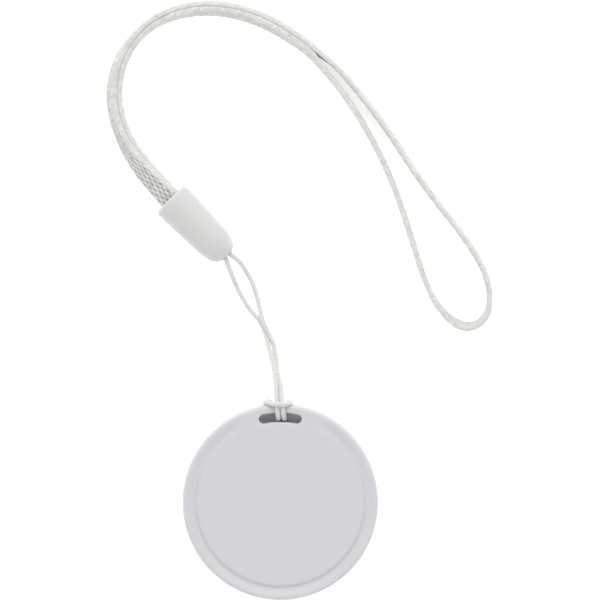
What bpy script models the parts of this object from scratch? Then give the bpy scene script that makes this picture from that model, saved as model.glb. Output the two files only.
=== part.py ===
"""Round bluetooth tracker tag on a braided wrist lanyard.

The tag lies on its back with its pressing face up. The origin is the centre of its back, +Z is up
through the face, and +Y points to the lanyard slot. Everything is in metres.
"""

import math

import bmesh
import bpy
import numpy as np
from mathutils import Matrix, Vector

MM = 0.001

# Driving dimensions of the case
TAG_RADIUS = 19.5 * MM
TAG_HEIGHT = 8.4 * MM
GAP = 0.3 * MM  # clearance between pieces that touch on the real tag
THIN_GAP = 0.1 * MM  # clearance under bonded and soldered pieces
PARTING_HEIGHT = 3.4 * MM  # where the rear shell ends
FLOOR_THICKNESS = 1.3 * MM
BACK_EDGE_RADIUS = 2.6 * MM
RIM_ROUND = 0.7 * MM  # round-over from the ring's crest to the side, across
RIM_DROP = 1.1 * MM  # and down
SPIGOT_OUTER = 17.5 * MM
SPIGOT_INNER = 17.0 * MM
SPIGOT_BOTTOM = 2.2 * MM

# The pressing face and the groove around it
FACE_TOP = 8.34 * MM
FACE_THICKNESS = 1.14 * MM
FACE_FLAT_RADIUS = 16.1 * MM
FACE_RADIUS = 16.85 * MM
GROOVE_OUTER = FACE_RADIUS + GAP
FACE_EDGE_TOP = 8.07 * MM
GROOVE_FLOOR = 7.98 * MM
LEDGE_TOP = 6.65 * MM
LEDGE_BOTTOM = 6.1 * MM
LEDGE_INNER = 16.3 * MM
HINGE_Y = 13.6 * MM
HINGE_Z = 7.9 * MM
SWITCH_Y = -6.0 * MM

# The lanyard slot, an arc concentric with the tag
SLOT_RADIUS = 16.9 * MM
SLOT_WIDTH = 1.86 * MM
SLOT_LENGTH = 8.5 * MM
BLOCK_INNER = 14.7 * MM
BLOCK_HALF_ANGLE = math.radians(19.0)
SADDLE_TOP = 1.5 * MM

# Battery door with its bayonet lugs
DOOR_RADIUS = 13.1 * MM
DOOR_NECK_RADIUS = 11.0 * MM
DOOR_NECK_INNER = 10.35 * MM
LUG_COUNT = 3
LUG_HALF_ANGLE = math.radians(9.0)
LUG_OUTER = 12.1 * MM
NOTCH_HALF_ANGLE = math.radians(12.0)
DOOR_TURN = math.radians(35.0)

# CR2032 coin cell
CELL_RADIUS = 10.0 * MM
CELL_BOTTOM = 1.45 * MM
CELL_HEIGHT = 3.2 * MM
CELL_WALL = 0.25 * MM

# Circuit board and what it carries
BOARD_RADIUS = 16.7 * MM
BOARD_BOTTOM = 5.0 * MM
BOARD_TOP = 5.8 * MM
BOARD_EDGE_Y = 13.5 * MM
SCREW_RADIUS = 15.9 * MM  # pitch circle of the case screws
SCREW_ANGLES = tuple(math.radians(a) for a in (150.0, 270.0, 30.0))
BOSS_RADIUS = 1.7 * MM

# Lanyard
CORD_DIAMETER = 0.88 * MM
STRAP_WIDTH = 4.2 * MM
STRAP_THICKNESS = 1.1 * MM
STRAP_OFFSET = 0.64 * MM  # from the middle of the pair of legs to the middle of one leg
STRAP_STEP = 11.0 * MM
CORD_STEP = 2.6 * MM
FERRULE_MOUTH = Vector((-22.1, 60.58, 3.25)) * MM
FERRULE_TIP = Vector((-10.76, 49.12, 3.25)) * MM
FERRULE_FLATTEN = 0.81  # height over width

SMOOTH = 64
MEDIUM = 40
SMALL = 16

# Route of the two legs of the wrist strap where they lie together, from the ferrule to where they
# part: x, y and z of the middle of the pair in mm, and its roll in degrees, 90 with its face up.
PAIR_ROUTE = (
    (-19.18, 57.44, 3.25, 72),
    (-21.97, 60.33, 3.25, 70),
    (-24.56, 63.22, 3.15, 60),
    (-27.04, 66.05, 2.9, 49),
    (-30.48, 71.07, 2.55, 28),
    (-32.77, 76.58, 2.42, 22.5),
    (-33.46, 82.39, 2.38, 21),
    (-31.7, 89.37, 2.3, 15),
    (-27.03, 95.09, 2.22, 6),
    (-21.01, 98.12, 2.2, -1),
    (-15.02, 99.01, 2.26, -6),
    (-8.79, 98.3, 2.27, -7),
    (-3.14, 96.38, 2.28, -8),
    (2.35, 93.26, 2.25, -6),
    (6.0, 90.56, 2.24, -4),
)
# The outer leg from there to the middle of the loop's far end, then the inner leg back again:
# x and y in mm, and the roll.
OUTER_LEG = (
    (10.12, 88.2, 4), (17.1, 80.48, 9.5), (21.99, 73.84, 9.5), (27.85, 65.01, 9),
    (31.76, 59.65, 8.7), (35.77, 54.53, 8.7), (38.66, 50.41, 8.7), (41.14, 45.73, 8),
    (42.11, 41.03, 5), (41.69, 37.87, -1), (39.97, 35.62, -8), (37.32, 34.97, -15),
)
INNER_LEG = (
    (34.98, 35.87, -15), (32.48, 38.18, -9), (30.33, 41.49, -5), (28.8, 45.07, -2),
    (26.76, 51.35, 0), (24.6, 58.15, 0), (22.44, 64.04, 0), (19.35, 70.75, 0),
    (13.59, 80.46, 0), (9.6, 85.62, -1),
)

# Route of the thin cord in mm, from the ferrule along the left strand, round the bar in a lark's
# head, and back along the right strand.
LEFT_STRAND = (
    (-13.17, 50.88, 3.2), (-11.28, 48.96, 3.1), (-10.25, 46.4, 2.4), (-9.05, 43.4, 1.3),
    (-7.65, 40.6, 0.65), (-6.0, 38.1, 0.5), (-4.38, 36.2, 0.5), (-3.2, 33.9, 1.0),
    (-2.55, 31.4, 1.95), (-1.8, 28.6, 3.6), (-1.12, 25.9, 5.35), (-0.84, 23.0, 6.9),
    (-0.72, 21.0, 8.1), (-0.64, 19.6, 8.85), (-0.56, 18.6, 9.0), (-0.5, 17.9, 8.9),
    (-0.45, 17.35, 8.6), (-0.4, 16.95, 8.0), (-0.35, 16.65, 7.1), (-0.3, 16.5, 6.0),
    (-0.3, 16.48, 4.8), (-0.3, 16.6, 3.4), (-0.4, 16.9, 1.9), (-0.55, 17.4, 1.08),
    (-0.85, 18.1, 0.9), (-1.3, 18.8, 0.9), (-1.85, 19.38, 1.06), (-2.25, 19.76, 1.6),
    (-2.65, 19.86, 2.6), (-2.95, 19.79, 4.1), (-3.05, 19.77, 5.6), (-2.88, 19.79, 6.9),
    (-2.45, 19.76, 7.9), (-1.9, 19.66, 8.65), (-1.3, 19.57, 9.45),
)
BIGHT = ((-0.15, 19.55, 9.85),)
RIGHT_STRAND = (
    (1.0, 19.5, 9.46), (1.47, 19.62, 8.75), (1.8, 19.8, 7.9), (1.96, 19.9, 6.8),
    (2.0, 19.9, 5.4), (1.98, 19.91, 3.9), (1.9, 19.93, 2.6), (1.75, 19.8, 1.6),
    (1.55, 19.38, 1.06), (1.3, 18.8, 0.9), (1.1, 18.1, 0.9), (0.95, 17.4, 1.08),
    (0.85, 16.9, 1.9), (0.8, 16.6, 3.4), (0.8, 16.48, 4.8), (0.8, 16.5, 6.0),
    (0.78, 16.65, 7.1), (0.74, 16.95, 8.0), (0.66, 17.35, 8.6), (0.58, 17.9, 8.9),
    (0.46, 18.6, 9.0), (0.34, 19.6, 8.85), (0.24, 21.0, 8.1), (0.08, 23.0, 6.7),
    (-0.65, 25.9, 4.2), (-0.9, 28.5, 2.55), (-1.45, 31.4, 1.65), (-2.7, 34.0, 1.4),
    (-3.75, 36.7, 1.5), (-4.15, 38.5, 1.2), (-4.55, 40.1, 1.0), (-5.47, 43.2, 1.0),
    (-6.8, 45.8, 1.7), (-8.38, 48.1, 2.7), (-10.46, 49.76, 3.15), (-12.42, 51.62, 3.2),
)


# ---------------------------------------------------------------- scene, collections, materials


def clear_scene():
    for obj in list(bpy.data.objects):
        bpy.data.objects.remove(obj, do_unlink=True)


def new_collection(name):
    collection = bpy.data.collections.new(name)
    bpy.context.scene.collection.children.link(collection)
    return collection


clear_scene()
PARTS = new_collection("bluetooth_tracker_tag")
CUTTERS = new_collection("cutters_and_guides")


def material(name, colour, roughness, metallic=0.0):
    made = bpy.data.materials.new(name)
    made.use_nodes = True
    shader = made.node_tree.nodes["Principled BSDF"]
    shader.inputs["Base Color"].default_value = (*colour, 1.0)
    shader.inputs["Roughness"].default_value = roughness
    shader.inputs["Metallic"].default_value = metallic
    return made


WHITE_SHELL = material("white_shell_plastic", (0.66, 0.665, 0.68), 0.42)
MILKY_PLASTIC = material("milky_plastic", (0.70, 0.70, 0.69), 0.5)
STRAP_FABRIC = material("strap_fabric", (0.66, 0.65, 0.60), 0.9)
CORD_FABRIC = material("cord_fabric", (0.70, 0.70, 0.67), 0.85)
BLACK_PLASTIC = material("black_plastic", (0.02, 0.02, 0.022), 0.5)
GREY_RUBBER = material("grey_rubber", (0.1, 0.1, 0.105), 0.75)
BOARD_GREEN = material("board_green", (0.015, 0.13, 0.05), 0.35)
CHIP_BLACK = material("chip_black", (0.02, 0.02, 0.02), 0.4)
STEEL = material("bright_steel", (0.62, 0.62, 0.6), 0.25, 1.0)
BRASS = material("brass_sheet", (0.8, 0.62, 0.28), 0.3, 1.0)
CERAMIC = material("white_ceramic", (0.85, 0.84, 0.8), 0.35)
CAPACITOR_TAN = material("capacitor_tan", (0.42, 0.29, 0.16), 0.45)
CELL_BLACK = material("cell_black", (0.03, 0.03, 0.03), 0.8)


def place(name, data, look, role="part"):
    """One object: a part, or a cutter or guide that is only used to shape a part."""
    obj = bpy.data.objects.new(name, data)
    if role == "part":
        PARTS.objects.link(obj)
        data.materials.append(look)
    else:
        CUTTERS.objects.link(obj)
        obj.hide_render = True
        obj.display_type = "WIRE"
    return obj


# ---------------------------------------------------------------- shapes


def turned(name, profile, look, segments=SMOOTH, role="part", closed=True):
    """A solid of revolution about Z. The profile runs down its outer side first."""
    mesh = bpy.data.meshes.new(name)
    count = len(profile)
    edges = [(i, i + 1) for i in range(count - 1)]
    if closed:
        edges.append((count - 1, 0))
    mesh.from_pydata([(r, 0.0, z) for r, z in profile], edges, [])
    obj = place(name, mesh, look, role)
    screw = obj.modifiers.new("Turn", "SCREW")
    screw.axis = "Z"
    screw.angle = 2.0 * math.pi
    screw.steps = segments
    screw.render_steps = segments
    screw.use_merge_vertices = True
    screw.merge_threshold = 1e-6
    return obj


def ring(name, inner, outer, low, high, look, segments=MEDIUM, role="part"):
    profile = [(inner, high), (outer, high), (outer, low), (inner, low)]
    return turned(name, profile, look, segments, role)


def disc(name, radius, low, high, look, segments=MEDIUM, role="part", at=(0.0, 0.0)):
    shape = bmesh.new()
    bmesh.ops.create_cone(
        shape, cap_ends=True, segments=segments, radius1=radius, radius2=radius, depth=high - low
    )
    mesh = bpy.data.meshes.new(name)
    shape.to_mesh(mesh)
    shape.free()
    obj = place(name, mesh, look, role)
    obj.location = (at[0], at[1], (low + high) / 2.0)
    return obj


def block(name, size, centre, look, role="part", angle=0.0, edge=0.0):
    """A box of a given size; edge is the width of its rounded edges."""
    shape = bmesh.new()
    bmesh.ops.create_cube(shape, size=1.0, matrix=Matrix.Diagonal((*size, 1.0)))
    mesh = bpy.data.meshes.new(name)
    shape.to_mesh(mesh)
    shape.free()
    obj = place(name, mesh, look, role)
    obj.location = centre
    obj.rotation_euler.z = angle
    if edge:
        bevel = obj.modifiers.new("Edges", "BEVEL")
        bevel.width = edge
        bevel.segments = 2
        bevel.limit_method = "ANGLE"
    return obj


def sector(name, inner, outer, half_angle, low, high, middle=math.pi / 2.0, steps=10):
    """A cutter: an arc of a ring, centred on the direction middle."""
    angles = [middle - half_angle + 2.0 * half_angle * i / steps for i in range(steps + 1)]
    outline = [(outer * math.cos(a), outer * math.sin(a)) for a in angles]
    outline += [(inner * math.cos(a), inner * math.sin(a)) for a in reversed(angles)]
    return extruded(name, outline, low, high, None, "cutter")


def extruded(name, outline, low, high, look, role="part"):
    """A flat closed outline, anticlockwise, made into a plate from low to high."""
    shape = bmesh.new()
    face = shape.faces.new([shape.verts.new((x, y, low)) for x, y in outline])
    grown = bmesh.ops.extrude_face_region(shape, geom=[face])
    lifted = [item for item in grown["geom"] if isinstance(item, bmesh.types.BMVert)]
    bmesh.ops.translate(shape, verts=lifted, vec=(0.0, 0.0, high - low))
    bmesh.ops.recalc_face_normals(shape, faces=shape.faces)
    mesh = bpy.data.meshes.new(name)
    shape.to_mesh(mesh)
    shape.free()
    return place(name, mesh, look, role)


def hang_on(name, place_on_axis, *pieces):
    """An empty on a joint's axis, with the pieces that move about it as its children."""
    axis = bpy.data.objects.new(name, None)
    axis.location = place_on_axis
    PARTS.objects.link(axis)
    for piece in pieces:
        piece.parent = axis
        piece.matrix_parent_inverse = Matrix.Translation(-Vector(place_on_axis))


def combine(target, other, operation):
    change = target.modifiers.new(other.name, "BOOLEAN")
    change.operation = operation
    change.solver = "EXACT"
    change.object = other


def cut(target, *cutters):
    for cutter in cutters:
        combine(target, cutter, "DIFFERENCE")


def add(target, *others):
    for other in others:
        combine(target, other, "UNION")


def arc(centre, radius_r, radius_z, start, end, steps):
    """Points on an elliptic arc in a turned profile, angles in degrees from +R towards +Z."""
    angles = [math.radians(start + (end - start) * i / steps) for i in range(steps + 1)]
    return [(centre[0] + radius_r * math.cos(a), centre[1] + radius_z * math.sin(a)) for a in angles]


def polar(radius, angle):
    return radius * math.cos(angle), radius * math.sin(angle)


# ---------------------------------------------------------------- case


def slot_cutter(name):
    """The arched lanyard slot, right through the tag."""
    reach = SLOT_WIDTH / 2.0
    half_angle = (SLOT_LENGTH - SLOT_WIDTH) / 2.0 / SLOT_RADIUS
    outline = []
    for radius, sign in ((SLOT_RADIUS + reach, 1.0), (SLOT_RADIUS - reach, -1.0)):
        for i in range(9):
            turn = math.pi / 2.0 + sign * half_angle * (i / 4.0 - 1.0)
            outline.append(polar(radius, turn))
        end = math.pi / 2.0 + sign * half_angle
        middle = Vector(polar(SLOT_RADIUS, end))
        for i in range(1, 6):
            bend = end + (0.0 if sign > 0 else math.pi) + math.pi * i / 6.0
            outline.append(tuple(middle + Vector(polar(reach, bend))))
    return extruded(name, outline, -1.0 * MM, TAG_HEIGHT + 1.0 * MM, None, "cutter")


def make_front_shell():
    """Side wall, raised ring, land round the slot, slot sleeve, stop ledge and screw bosses."""
    crest = TAG_RADIUS - RIM_ROUND
    rim_base = TAG_HEIGHT - RIM_DROP
    front_bottom = PARTING_HEIGHT + GAP
    profile = [(GROOVE_OUTER, GROOVE_FLOOR), (17.75 * MM, 8.11 * MM), (18.3 * MM, 8.3 * MM)]
    profile += arc((crest, rim_base), RIM_ROUND, RIM_DROP, 90, 0, 5)
    profile += [
        (TAG_RADIUS, front_bottom),
        (SPIGOT_OUTER, front_bottom),
        (SPIGOT_OUTER, SPIGOT_BOTTOM),
        (SPIGOT_INNER, SPIGOT_BOTTOM),
        (SPIGOT_INNER, LEDGE_BOTTOM),
        (LEDGE_INNER, LEDGE_BOTTOM),
        (LEDGE_INNER, LEDGE_TOP),
        (GROOVE_OUTER, LEDGE_TOP),
    ]
    shell = turned("front_shell", profile, WHITE_SHELL)

    land = disc("land_disc", 18.2 * MM, 7.0 * MM, FACE_TOP, None, SMOOTH, "cutter")
    cut(land, block(
        "land_trim", (50 * MM, 40 * MM, 6 * MM),
        (0.0, HINGE_Y + GAP / 2.0 - 20 * MM, 7.5 * MM), None, "cutter",
    ))
    sleeve = sector(
        "slot_sleeve", BLOCK_INNER, 17.3 * MM, BLOCK_HALF_ANGLE, FLOOR_THICKNESS + GAP, 7.6 * MM
    )
    add(shell, land, sleeve)
    for i, angle in enumerate(SCREW_ANGLES):
        spot = polar(SCREW_RADIUS, angle)
        boss = disc(f"boss_{i + 1}", BOSS_RADIUS, 1.6 * MM, 6.4 * MM, None, SMALL, "cutter", spot)
        add(shell, boss)
    for i, angle in enumerate(SCREW_ANGLES):
        spot = polar(SCREW_RADIUS, angle)
        pilot = disc(
            f"boss_hole_{i + 1}", 0.75 * MM, 1.0 * MM, 5.6 * MM, None, SMALL, "cutter", spot
        )
        cut(shell, pilot)
    cut(shell, slot_cutter("front_slot"))
    return shell


def make_face_panel():
    """The pressing face: it flexes about its straight side by the slot."""
    bottom = FACE_TOP - FACE_THICKNESS
    profile = [
        (0.0, FACE_TOP),
        (FACE_FLAT_RADIUS, FACE_TOP),
        (16.45 * MM, 8.28 * MM),
        (FACE_RADIUS, FACE_EDGE_TOP),
        (FACE_RADIUS, bottom),
        (0.0, bottom),
    ]
    panel = turned("face_panel", profile, WHITE_SHELL, closed=False)
    cut(panel, block(
        "face_trim", (50 * MM, 20 * MM, 6 * MM),
        (0.0, HINGE_Y - GAP / 2.0 + 10 * MM, 7.5 * MM), None, "cutter",
    ))
    nub = disc("switch_nub", 1.2 * MM, 7.02 * MM, 7.6 * MM, None, SMALL, "cutter", (0.0, SWITCH_Y))
    add(panel, nub)
    return panel


def make_rear_shell():
    """Back of the case, with the seat of the battery door and the saddle for the cord."""
    inner_wall = SPIGOT_OUTER + GAP
    edge = TAG_RADIUS - BACK_EDGE_RADIUS
    profile = [(inner_wall, PARTING_HEIGHT), (TAG_RADIUS, PARTING_HEIGHT)]
    profile += arc((edge, BACK_EDGE_RADIUS), BACK_EDGE_RADIUS, BACK_EDGE_RADIUS, 0, -90, 6)
    profile += [
        (13.4 * MM, 0.0),
        (13.4 * MM, 0.72 * MM),
        (11.3 * MM, 0.72 * MM),
        (11.3 * MM, FLOOR_THICKNESS),
        (inner_wall, FLOOR_THICKNESS),
    ]
    shell = turned("rear_shell", profile, WHITE_SHELL)
    cut(shell, ring("seal_groove", 12.4 * MM, 13.0 * MM, 0.5 * MM, 1.0 * MM, None,
                    MEDIUM, "cutter"))
    for i in range(LUG_COUNT):
        middle = 2.0 * math.pi * i / LUG_COUNT + math.pi / 2.0 + DOOR_TURN
        cut(shell, sector(f"lug_notch_{i + 1}", 11.0 * MM, 12.3 * MM, NOTCH_HALF_ANGLE,
                          0.6 * MM, 1.6 * MM, middle, 4))
    for i, angle in enumerate(SCREW_ANGLES):
        spot = polar(SCREW_RADIUS, angle)
        cut(shell,
            disc(f"head_recess_{i + 1}", 1.5 * MM, -0.5 * MM, 0.75 * MM, None, SMALL, "cutter", spot),
            disc(f"shank_hole_{i + 1}", 0.8 * MM, 0.5 * MM, 2.0 * MM, None, SMALL, "cutter", spot))
    saddle = block("cord_saddle", (9.4 * MM, 6.2 * MM, 3.0 * MM),
                   (0.0, 18.5 * MM, SADDLE_TOP - 1.5 * MM), None, "cutter", edge=0.5 * MM)
    cut(shell, saddle)
    return shell


def make_battery_door():
    """Coin-turned door: flange, neck round the cell and three bayonet lugs."""
    profile = [
        (0.0, 1.2 * MM),
        (DOOR_NECK_INNER, 1.2 * MM),
        (DOOR_NECK_INNER, 2.2 * MM),
        (DOOR_NECK_RADIUS, 2.2 * MM),
        (DOOR_NECK_RADIUS, 0.45 * MM),
        (DOOR_RADIUS - 0.1 * MM, 0.45 * MM),
        (DOOR_RADIUS, 0.35 * MM),
        (DOOR_RADIUS, 0.2 * MM),
        (DOOR_RADIUS - 0.1 * MM, 0.1 * MM),
        (0.0, 0.1 * MM),
    ]
    door = turned("battery_door", profile, WHITE_SHELL, closed=False)
    for i in range(LUG_COUNT):
        middle = 2.0 * math.pi * i / LUG_COUNT + math.pi / 2.0
        add(door, sector(f"door_lug_{i + 1}", 10.6 * MM, LUG_OUTER, LUG_HALF_ANGLE,
                         1.6 * MM, 2.19 * MM, middle, 4))
    coin_slot = disc("coin_slot", 11.0 * MM, -0.9 * MM, 0.9 * MM, None, MEDIUM, "cutter")
    coin_slot.rotation_euler.x = math.pi / 2.0
    coin_slot.location.z = -10.25 * MM
    cut(door, coin_slot)
    return door


def make_door_seal():
    """Flat rubber ring in the groove under the door's flange."""
    return ring("door_seal", 12.47 * MM, 12.93 * MM, 0.53 * MM, 0.92 * MM, GREY_RUBBER)


def make_case_screws():
    for i, angle in enumerate(SCREW_ANGLES):
        profile = [
            (0.0, 5.3 * MM),
            (0.35 * MM, 5.1 * MM),
            (0.58 * MM, 4.7 * MM),
            (0.58 * MM, 0.7 * MM),
            (1.25 * MM, 0.7 * MM),
            (1.25 * MM, 0.35 * MM),
            (1.05 * MM, 0.2 * MM),
            (0.0, 0.2 * MM),
        ]
        screw = turned(f"case_screw_{i + 1}", profile, STEEL, SMALL, closed=False)
        screw.location = (*polar(SCREW_RADIUS, angle), 0.0)
        recess = [
            block(f"cross_{i + 1}_{arm}", (1.3 * MM, 0.32 * MM, 0.5 * MM),
                  (*polar(SCREW_RADIUS, angle), 0.2 * MM), None, "cutter", arm * math.pi / 2.0)
            for arm in range(2)
        ]
        cut(screw, *recess)


# ---------------------------------------------------------------- coin cell and its contacts


def make_coin_cell():
    top = CELL_BOTTOM + CELL_HEIGHT
    can_top = top - 0.45 * MM
    inside = CELL_RADIUS - CELL_WALL
    turned("cell_can", [
        (0.0, CELL_BOTTOM + CELL_WALL),
        (inside, CELL_BOTTOM + CELL_WALL),
        (inside, can_top),
        (CELL_RADIUS - 0.08 * MM, can_top),
        (CELL_RADIUS, can_top - 0.1 * MM),
        (CELL_RADIUS, CELL_BOTTOM + 0.3 * MM),
        (CELL_RADIUS - 0.3 * MM, CELL_BOTTOM),
        (0.0, CELL_BOTTOM),
    ], STEEL, MEDIUM, closed=False)
    cap_radius = 8.9 * MM
    turned("cell_cap", [
        (0.0, top),
        (cap_radius - 0.25 * MM, top),
        (cap_radius, top - 0.25 * MM),
        (cap_radius, 2.2 * MM),
        (cap_radius - CELL_WALL, 2.2 * MM),
        (cap_radius - CELL_WALL, top - CELL_WALL - 0.1 * MM),
        (0.0, top - CELL_WALL - 0.1 * MM),
    ], STEEL, MEDIUM, closed=False)
    ring("cell_gasket", cap_radius + THIN_GAP, inside - THIN_GAP,
         CELL_BOTTOM + CELL_WALL + THIN_GAP, can_top + 0.15 * MM, BLACK_PLASTIC)
    disc("cell_core", cap_radius - CELL_WALL - 0.15 * MM, CELL_BOTTOM + CELL_WALL + THIN_GAP,
         top - CELL_WALL - 0.2 * MM, CELL_BLACK)


def make_battery_cradle():
    """Plastic ring that centres the cell and carries the board."""
    profile = [
        (10.4 * MM, 4.7 * MM),
        (13.8 * MM, 4.7 * MM),
        (13.8 * MM, 4.1 * MM),
        (11.5 * MM, 4.1 * MM),
        (11.5 * MM, 2.5 * MM),
        (10.4 * MM, 2.5 * MM),
    ]
    cradle = turned("battery_cradle", profile, BLACK_PLASTIC, MEDIUM)
    cut(cradle, block("contact_window", (2.6 * MM, 3.4 * MM, 3.0 * MM),
                      (-11.0 * MM, 0.0, 3.5 * MM), None, "cutter"))
    return cradle


def make_contacts():
    """Spring strips: one on the cell's side, one on its cap, and two under the sounder."""
    block("positive_contact", (0.2 * MM, 2.4 * MM, 2.2 * MM),
          (-10.4 * MM, 0.0, 3.7 * MM), STEEL, edge=0.05 * MM)
    block("negative_contact", (9.0 * MM, 2.4 * MM, 0.12 * MM),
          (1.5 * MM, 0.0, 4.84 * MM), STEEL, edge=0.03 * MM)
    for name, x, top in (("sounder_contact_1", -2.4, 6.45), ("sounder_contact_2", 6.6, 6.6)):
        low = BOARD_TOP + THIN_GAP
        foot = block(name, (1.2 * MM, 2.6 * MM, 0.2 * MM),
                     (x * MM, 4.0 * MM, low + 0.1 * MM), BRASS)
        rise = top * MM - low
        post = block(f"{name}_post", (1.2 * MM, 0.2 * MM, rise),
                     (x * MM, 5.1 * MM, low + rise / 2.0), None, "cutter")
        arm = block(f"{name}_arm", (1.2 * MM, 1.6 * MM, 0.15 * MM),
                    (x * MM, 4.4 * MM, top * MM - 0.075 * MM), None, "cutter")
        add(foot, post, arm)


# ---------------------------------------------------------------- board


def make_board():
    board = disc("main_board", BOARD_RADIUS, BOARD_BOTTOM, BOARD_TOP, BOARD_GREEN, SMOOTH)
    cut(board, block("board_trim", (40 * MM, 10 * MM, 4 * MM),
                     (0.0, BOARD_EDGE_Y + 5 * MM, 5.4 * MM), None, "cutter"))
    for i, angle in enumerate(SCREW_ANGLES):
        spot = polar(SCREW_RADIUS, angle)
        cut(board, disc(f"board_notch_{i + 1}", BOSS_RADIUS + GAP, 4 * MM, 7 * MM, None,
                        SMALL, "cutter", spot))
    return board


def make_board_parts():
    """Soldered components on the board's upper side: name, size, place, look."""
    seat = BOARD_TOP + THIN_GAP
    for name, size, spot, look in (
        ("radio_chip", (5.0, 5.0, 0.75), (-11.4, -3.6), CHIP_BLACK),
        ("memory_chip", (2.6, 2.2, 0.6), (-7.4, -9.6), CHIP_BLACK),
        ("main_crystal", (2.5, 2.0, 0.6), (-11.0, 1.6), STEEL),
        ("clock_crystal", (3.2, 1.5, 0.7), (-11.6, -8.4), STEEL),
        ("chip_antenna", (6.4, 2.0, 0.8), (5.8, -12.3), CERAMIC),
        ("power_inductor", (2.4, 2.0, 0.7), (10.8, -2.0), CHIP_BLACK),
        ("capacitor_1", (1.9, 1.2, 0.7), (11.0, -5.4), CAPACITOR_TAN),
        ("capacitor_2", (1.9, 1.2, 0.7), (11.0, -7.6), CAPACITOR_TAN),
        ("capacitor_3", (1.2, 0.8, 0.6), (-6.6, -12.6), CAPACITOR_TAN),
        ("capacitor_4", (1.2, 0.8, 0.6), (-4.4, -12.6), CAPACITOR_TAN),
    ):
        centre = (spot[0] * MM, spot[1] * MM, seat + size[2] * MM / 2.0)
        block(name, tuple(side * MM for side in size), centre, look)


def make_switch():
    """Low click switch: a square body with a round plunger in a well."""
    seat = BOARD_TOP + THIN_GAP
    body = block("switch_body", (4.2 * MM, 4.2 * MM, 0.6 * MM),
                 (0.0, SWITCH_Y, seat + 0.3 * MM), BLACK_PLASTIC)
    cut(body, disc("switch_well", 1.15 * MM, seat + 0.1 * MM, 7.5 * MM, None, SMALL, "cutter",
                   (0.0, SWITCH_Y)))
    disc("switch_plunger", 1.0 * MM, 6.27 * MM, 6.86 * MM, STEEL, SMALL, at=(0.0, SWITCH_Y))


def make_sounder():
    """Piezo sounder bonded under the face: a brass plate with a ceramic disc."""
    middle = (0.0, 4.0 * MM)
    plate = disc("sounder_plate", 7.5 * MM, 6.93 * MM, 7.1 * MM, BRASS, at=middle)
    ceramic = disc("sounder_ceramic", 5.5 * MM, 6.7 * MM, 6.86 * MM, CERAMIC, at=middle)
    return plate, ceramic


# ---------------------------------------------------------------- lanyard


def smooth_curve(route, step):
    """Points about one step apart on a smooth curve through the points of a route."""
    knots = np.concatenate(([0.0], np.cumsum(np.linalg.norm(np.diff(route[:, :3], axis=0), axis=1))))
    slopes = np.gradient(route, knots, axis=0)
    at = np.linspace(0.0, knots[-1], int(round(knots[-1] / step)) + 1)
    span = np.clip(np.searchsorted(knots, at, side="right") - 1, 0, len(route) - 2)
    width = (knots[span + 1] - knots[span])[:, None]
    t = ((at - knots[span]) / width[:, 0])[:, None]
    return (
        (2 * t**3 - 3 * t**2 + 1) * route[span]
        + (t**3 - 2 * t**2 + t) * width * slopes[span]
        + (3 * t**2 - 2 * t**3) * route[span + 1]
        + (t**3 - t**2) * width * slopes[span + 1]
    )


def thinned(points, step, turn):
    """Of closely spaced points, those a step apart, or nearer where the route turns or rolls."""
    kept = [points[0]]
    heading = points[1, :3] - points[0, :3]
    travelled = 0.0
    for i in range(1, len(points) - 1):
        ahead = points[i + 1, :3] - points[i, :3]
        travelled += np.linalg.norm(points[i, :3] - points[i - 1, :3])
        cosine = np.dot(ahead, heading) / (np.linalg.norm(ahead) * np.linalg.norm(heading))
        rolled = np.abs(points[i, 3:] - kept[-1][3:]).sum()
        if travelled >= step or cosine < math.cos(turn) or rolled > turn:
            kept.append(points[i])
            heading = ahead
            travelled = 0.0
    return np.array(kept + [points[-1]])


def poly_curve(name, points, look, role="part"):
    """A filled curve object on a straight-segment spline."""
    curve = bpy.data.curves.new(name, "CURVE")
    curve.dimensions = "3D"
    curve.use_fill_caps = True
    spline = curve.splines.new("POLY")
    spline.points.add(len(points) - 1)
    for knot, point in zip(spline.points, points):
        knot.co = (*point[:3], 1.0)
    return place(name, curve, look, role)


def make_lanyard_cord():
    """The thin cord: two strands from the ferrule and a lark's head round the tag's bar."""
    route = np.array(LEFT_STRAND + BIGHT + RIGHT_STRAND) * MM
    points = thinned(smooth_curve(route, 0.1 * MM), CORD_STEP, math.radians(30.0))
    cord = poly_curve("lanyard_cord", points, CORD_FABRIC)
    cord.data.bevel_depth = CORD_DIAMETER / 2.0
    cord.data.bevel_resolution = 2
    return cord


def strap_route():
    """Middle line of the strap, with its roll in radians, along one leg and back along the other."""
    pair = np.array(PAIR_ROUTE, float)
    heading = np.gradient(pair[:, :2], axis=0)
    heading /= np.linalg.norm(heading, axis=1)[:, None]
    roll = np.radians(pair[:, 3])
    across = np.stack([-heading[:, 1] * np.cos(roll), heading[:, 0] * np.cos(roll), np.sin(roll)], 1)
    shift = across * STRAP_OFFSET / MM
    on_edge = pair[-1, 2]
    outward = np.column_stack([pair[:, :3] + shift, roll])
    homeward = np.column_stack([pair[:, :3] - shift, -roll])[::-1]
    loop = np.array([(x, y, on_edge, math.radians(turn)) for x, y, turn in OUTER_LEG + INNER_LEG])
    route = np.concatenate([outward, loop, homeward])
    route[:, :3] *= MM
    return route


def make_wrist_strap():
    """Flat braided strap: its two legs lie face to face, then open into the wrist loop."""
    route = strap_route()
    points = thinned(smooth_curve(route, 0.4 * MM), STRAP_STEP, math.radians(14.0))
    section = rounded_section("strap_section", STRAP_THICKNESS, STRAP_WIDTH)
    strap = poly_curve("wrist_strap", points, STRAP_FABRIC)
    strap.data.twist_mode = "Z_UP"
    strap.data.bevel_mode = "OBJECT"
    strap.data.bevel_object = section
    for knot, point in zip(strap.data.splines[0].points, points):
        knot.tilt = point[3]
    return strap


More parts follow.
